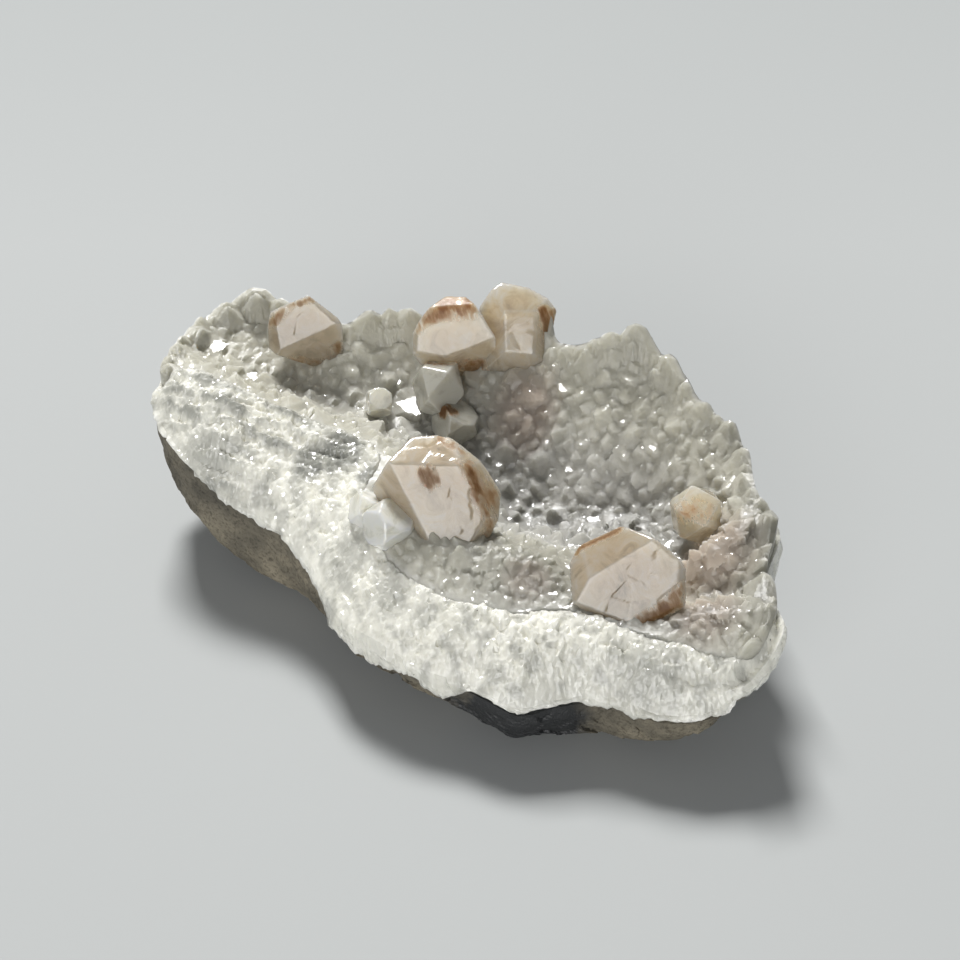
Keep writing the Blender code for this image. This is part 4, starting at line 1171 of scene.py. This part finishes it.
def grown_height(base, growth, places, normals, reaches):
    """How far out along its growth direction each base place is covered by the quartz
    points. That line leaves a point through the nearest of its six faces, and the
    farthest of the eight nearest points counts. Gives the distance and that point's
    number."""
    distance = np.empty(len(base))
    winner = np.empty(len(base), int)
    for start in range(0, len(base), 3000):
        part = slice(start, start + 3000)
        here = base[part]
        spread = (
            (here**2).sum(axis=1)[:, None] + (places**2).sum(axis=1)[None] - 2.0 * here @ places.T)
        near = np.argpartition(spread, 8, axis=1)[:, :8]
        gap = reaches[near] - np.einsum("pkfc,pc->pkf", normals[near], here)
        rate = np.einsum("pkfc,pc->pkf", normals[near], growth[part])
        leave = np.where(rate > 0.05, gap / np.maximum(rate, 0.05), np.where(gap > 0.0, 9.0, -9.0))
        reach = leave.min(axis=2)
        best = reach.argmax(axis=1)
        row = np.arange(len(here))
        distance[part] = reach[row, best]
        winner[part] = near[row, best]
    return distance, winner


def druse_grid(ring):
    """Plan points of the druse: its ring, a grid inside it, and a second grid half a cell
    off where the ground is steep."""
    outline = ring[::2]
    level, steep = (grid_inside(outline, DRUSE_SPACING, 0.3, seed) for seed in (41, 42))
    steep = steep + DRUSE_SPACING * 0.45
    clear = distance_to_outline(steep, outline) > 0.3
    steep = steep[inside_outline(steep, outline) & clear]
    return np.concatenate([ring, level, steep[upward_normals(steep)[:, 2] < 0.78]])


class CLUSTER_OT_druse(bpy.types.Operator):
    """Build the crust of quartz points that lines the hollow"""

    bl_idname = "cluster.druse"
    bl_label = "Quartz druse"

    def execute(self, context):
        width = context.scene.cluster_sizes.point_width / MM
        count = len(DRUSE_PLAN)
        at_rim = near_edge(DRUSE_PLAN, 3.6, 1.6)
        ring = outward_offset(DRUSE_PLAN, 0.15 + 0.9 * at_rim)
        plan = druse_grid(ring)
        flat = np.column_stack([plan, top_height(plan)])
        upward = upward_normals(plan)

        # Growth: off the ground, but straight up by the outer edge, so that teeth stand
        stand = near_edge(plan, 6.5, 4.0)[:, None]
        growth = unit(upward * (1.0 - stand) + stand * [0.0, 0.0, 1.0])
        places, widths, first = point_places(width)
        normals, reaches = point_faces(places, widths, first, 10)
        distance, winner = grown_height(flat, growth, places, normals, reaches)

        # Top: the points, with their feet half filled, fading out along the white band
        distance = np.clip(distance, -0.4, 8.0)
        valley = VALLEY * widths[winner]
        distance = np.where(distance < valley, valley + (distance - valley) * 0.5, distance)
        fade = np.clip(distance_to_outline(plan, DRUSE_PLAN[::4]) / 1.5, 0.0, 1.0)
        fade = np.maximum(fade, near_edge(plan, 3.6, 1.2))
        rise = (distance - 0.35) * fade - 0.25
        rise[:count] -= 0.5 * (1.0 - at_rim)
        top = flat + growth * rise[:, None]

        # Underside: the outer ring and a coarse bed, a slab's depth below
        under = np.concatenate([ring, grid_inside(ring[::4], 3.0, 1.5, 43)])
        under = np.column_stack([under, top_height(under) - DRUSE_SLAB])
        points = np.concatenate([top, under])
        faces = [
            triangles_inside(plan, count),
            triangles_inside(under, count)[:, ::-1] + len(top),
            wall_faces(np.arange(count), np.arange(count) + len(top)),
        ]

        # Marks that the material reads; level marks the upward-facing ground that gets painted
        # shade, less so at the left, and a low tip marks the valleys that get painted light
        rest = np.full(len(under), 0.5)
        level = np.clip((upward[:, 2] - 0.62) / 0.34, 0.0, 1.0)
        level *= np.clip((plan[:, 0] + 14.0) / 14.0, 0.2, 1.0)
        chance = np.random.default_rng(12)
        attributes = {
            "tone": np.concatenate([chance.uniform(0.0, 1.0, len(places))[winner], rest]),
            "tip": np.concatenate([np.clip(distance / width * 1.2, 0.0, 1.0), rest * 2.0]),
            "frost": frost_at(points),
            "hollow": hollow_at(points),
            "blush": np.clip(near_spots(points, PINK_PATCHES) * 1.2, 0.0, 0.7),
            "level": np.concatenate([level, rest]),
            "broad": np.concatenate([upward, np.tile([0.0, 0.0, -1.0], (len(rest), 1))]),
        }
        thing = add_piece("druse", points, np.concatenate(faces), attributes)
        material = druse_material(context.scene.cluster_colours)
        finish_piece(thing, material, "quartz_druse")
        return {"FINISHED"}


def large_planes(body):
    """Outward normals and distances from the origin of a large crystal's faces."""
    centre, faces = body
    heading, slope, distance = np.array(faces, float).T
    heading = np.radians(heading)
    slope = np.radians(slope)
    level = np.cos(slope)
    normals = np.stack([level * np.cos(heading), level * np.sin(heading), np.sin(slope)], 1)
    return normals, distance + normals @ np.array(centre)


def small_planes(body):
    """Outward normals and distances from the origin of a tetragonal block's faces."""
    centre, turn, prism, base, corner = body
    level = math.sin(CORNER_SLOPE) * math.sqrt(0.5)
    steep = math.cos(CORNER_SLOPE)
    normals = [(1, 0, 0), (-1, 0, 0), (0, 1, 0), (0, -1, 0), (0, 0, 1), (0, 0, -1)]
    normals += [
        (x * level, y * level, z * steep) for z in (1, -1) for y in (1, -1) for x in (1, -1)
    ]
    turned = Euler([math.radians(angle) for angle in turn]).to_matrix()
    normals = np.array(normals) @ np.array(turned).T
    distances = np.array([prism] * 4 + [base] * 2 + [corner] * 8)
    return normals, distances + normals @ np.array(centre)


def cube_directions(cells):
    """Unit directions on the six sides of a cube, each side a grid of equal angles, welded
    along the seams, and their triangles."""
    ticks = np.tan(np.linspace(-1.0, 1.0, cells + 1) * math.pi / 4.0)
    u, v = np.meshgrid(ticks, ticks, indexing="ij")
    one = np.ones_like(u)
    sides = [(one, u, v), (-one, v, u), (v, one, u), (u, -one, v), (u, v, one), (v, u, -one)]
    points = unit(np.concatenate([np.stack(side, 2).reshape(-1, 3) for side in sides]))
    i, j = np.meshgrid(np.arange(cells), np.arange(cells), indexing="ij")
    corner = (i * (cells + 1) + j).ravel()
    step = cells + 1
    quads = np.stack([corner, corner + step, corner + step + 1, corner + 1], 1)
    quads = np.concatenate([quads + side * step * step for side in range(6)])
    _, first, welded = np.unique(
        np.round(points, 6), axis=0, return_index=True, return_inverse=True)
    quads = welded.ravel()[quads]
    return points[first], np.concatenate([quads[:, :3], quads[:, [0, 2, 3]]])


def crystal_surface(centre, bodies, cells, seed):
    """Crystal as a function of direction from its centre. A body's surface lies at the
    nearest of its faces, distance / (normal . direction), as a soft minimum that wears the
    edges; the farthest of the bodies counts; chips and shallow growth steps are added."""
    directions, triangles = cube_directions(cells)
    radius = np.zeros(len(directions))
    edge = np.zeros(len(directions))
    for normals, distances in bodies:
        reaches = distances - normals @ np.array(centre)
        shares = np.clip(directions @ normals.T, 1e-4, None) / reaches
        body = (shares ** (1.0 / EDGE_WEAR)).sum(axis=1) ** -EDGE_WEAR
        order = np.sort(shares, axis=1)
        sharp = np.clip(1.0 - (1.0 - order[:, -2] / order[:, -1]) / 0.035, 0.0, 1.0)
        edge = np.where(body > radius, sharp, edge)
        radius = np.maximum(radius, body)
    points = np.array(centre) + directions * radius[:, None]
    relief = facets(points, 3.4, seed) * 0.035
    relief -= edge * np.abs(facets(points, 0.7, seed + 1)) * 0.05
    return points + directions * relief[:, None], triangles, edge


def build_crystal(node, name, cells, material):
    """Build one crystal piece with its stains."""
    large = node in LARGE_CRYSTALS
    centre, bodies = (LARGE_CRYSTALS if large else SMALL_CRYSTALS)[node]
    planes = [large_planes(body) if large else small_planes(body) for body in bodies]
    points, triangles, edge = crystal_surface(centre, planes, cells, len(node))
    near = near_lines(points, STAINS.get(node, ()))
    stain = np.clip(near * 1.25 * (1.0 + 0.35 * ripple(points, 3.0, 91)), 0.0, 1.0)
    # edge marks the sharp edges that the material lightens as a painted highlight; milk is partly
    # painted light and shade for each crystal
    marks = {"stain": stain, "edge": edge, "milk": np.full(len(points), MILK_AND_PAINTED_LIGHT[node])}
    thing = add_piece(name, points, triangles, marks, smooth=True)
    finish_piece(thing, material, node)


class CLUSTER_OT_peach_crystals(bpy.types.Operator):
    """Build the large peach apophyllite crystals"""

    bl_idname = "cluster.peach_crystals"
    bl_label = "Peach crystals"

    def execute(self, context):
        colours = context.scene.cluster_colours
        material = crystal_material(
            "peach apophyllite", tuple(colours.peach), tuple(colours.stain),
            clear=0.5, haze=0.18, depth=8.0)
        for node in PEACH_NODES:
            cells = PAIR_CELLS if node == "apophyllite_back_pair" else PEACH_CELLS
            build_crystal(node, "peach_" + node, cells, material)
        return {"FINISHED"}


class CLUSTER_OT_clear_crystals(bpy.types.Operator):
    """Build the small clear crystals"""

    bl_idname = "cluster.clear_crystals"
    bl_label = "Clear crystals"

    def execute(self, context):
        colours = context.scene.cluster_colours
        material = crystal_material(
            "clear apophyllite", tuple(colours.clear), tuple(colours.stain),
            clear=0.35, haze=0.12, depth=2.0)
        for node in CLEAR_NODES:
            build_crystal(node, "glassy_" + node, CLEAR_CELLS, material)
        return {"FINISHED"}


class CLUSTER_OT_stage(bpy.types.Operator):
    """Set the backdrop, the soft lights and the camera"""

    bl_idname = "cluster.stage"
    bl_label = "Stage"

    def execute(self, context):
        scene = context.scene
        clear_piece("floor")
        mesh = bpy.data.meshes.new("floor")
        corners = [(-1, -1), (1, -1), (1, 1), (-1, 1)]
        corners = [(x * FLOOR_HALF, y * FLOOR_HALF, 0.0) for x, y in corners]
        mesh.from_pydata(corners, [], [(0, 1, 2, 3)])
        floor = bpy.data.objects.new("floor", mesh)
        scene.collection.objects.link(floor)
        mesh.materials.append(floor_material(scene.cluster_colours))

        world = bpy.data.worlds.new("soft room")
        world.use_nodes = True
        background = world.node_tree.nodes["Background"]
        background.inputs["Color"].default_value = colour("#e6ebf0")
        background.inputs["Strength"].default_value = ROOM_STRENGTH
        scene.world = world
        for name, place, size, power in LIGHTS:
            clear_piece(name)
            lamp = bpy.data.lights.new(name, "AREA")
            lamp.size = size
            lamp.energy = power
            light = bpy.data.objects.new(name, lamp)
            scene.collection.objects.link(light)
            light.location = place
            light.rotation_euler = (-Vector(place)).to_track_quat("-Z", "Y").to_euler()

        # Camera: it looks down at the middle of the specimen from the photo's side
        clear_piece("camera")
        lens = bpy.data.cameras.new("camera")
        lens.sensor_width = 36.0
        lens.lens = CAMERA_LENS
        lens.clip_start = 0.01
        camera = bpy.data.objects.new("camera", lens)
        scene.collection.objects.link(camera)
        camera.location = tuple((CAMERA_AIM + SHIFT + CAMERA_REACH * CAMERA_BACK) * MM)
        camera.rotation_euler = (math.pi / 2.0 - CAMERA_TILT, 0.0, 0.0)
        scene.camera = camera
        scene.view_settings.view_transform = "Standard"
        return {"FINISHED"}


PIECES = (
    CLUSTER_OT_basalt,
    CLUSTER_OT_white_quartz,
    CLUSTER_OT_druse,
    CLUSTER_OT_peach_crystals,
    CLUSTER_OT_clear_crystals,
    CLUSTER_OT_stage,
)


class CLUSTER_PT_sidebar(bpy.types.Panel):
    """Sizes, colours and pieces of the cluster"""

    bl_label = "Apophyllite cluster"
    bl_idname = "CLUSTER_PT_sidebar"
    bl_space_type = "VIEW_3D"
    bl_region_type = "UI"
    bl_category = "Cluster"

    def draw(self, context):
        layout = self.layout
        for settings in (context.scene.cluster_sizes, context.scene.cluster_colours):
            for name in settings.__annotations__:
                layout.prop(settings, name)
        for piece in PIECES:
            layout.operator(piece.bl_idname)


CLASSES = (ClusterColours, ClusterSizes, *PIECES, CLUSTER_PT_sidebar)


def register():
    """Register the settings, the operators and the panel."""
    for item in CLASSES:
        bpy.utils.register_class(item)
    bpy.types.Scene.cluster_colours = bpy.props.PointerProperty(type=ClusterColours)
    bpy.types.Scene.cluster_sizes = bpy.props.PointerProperty(type=ClusterSizes)


def unregister():
    """Take the settings, the operators and the panel away again."""
    del bpy.types.Scene.cluster_sizes
    del bpy.types.Scene.cluster_colours
    for item in reversed(CLASSES):
        bpy.utils.unregister_class(item)


def main():
    """Build every piece and the stage."""
    register()
    bpy.ops.cluster.basalt()
    bpy.ops.cluster.white_quartz()
    bpy.ops.cluster.druse()
    bpy.ops.cluster.peach_crystals()
    bpy.ops.cluster.clear_crystals()
    bpy.ops.cluster.stage()


if __name__ == "__main__":
    main()
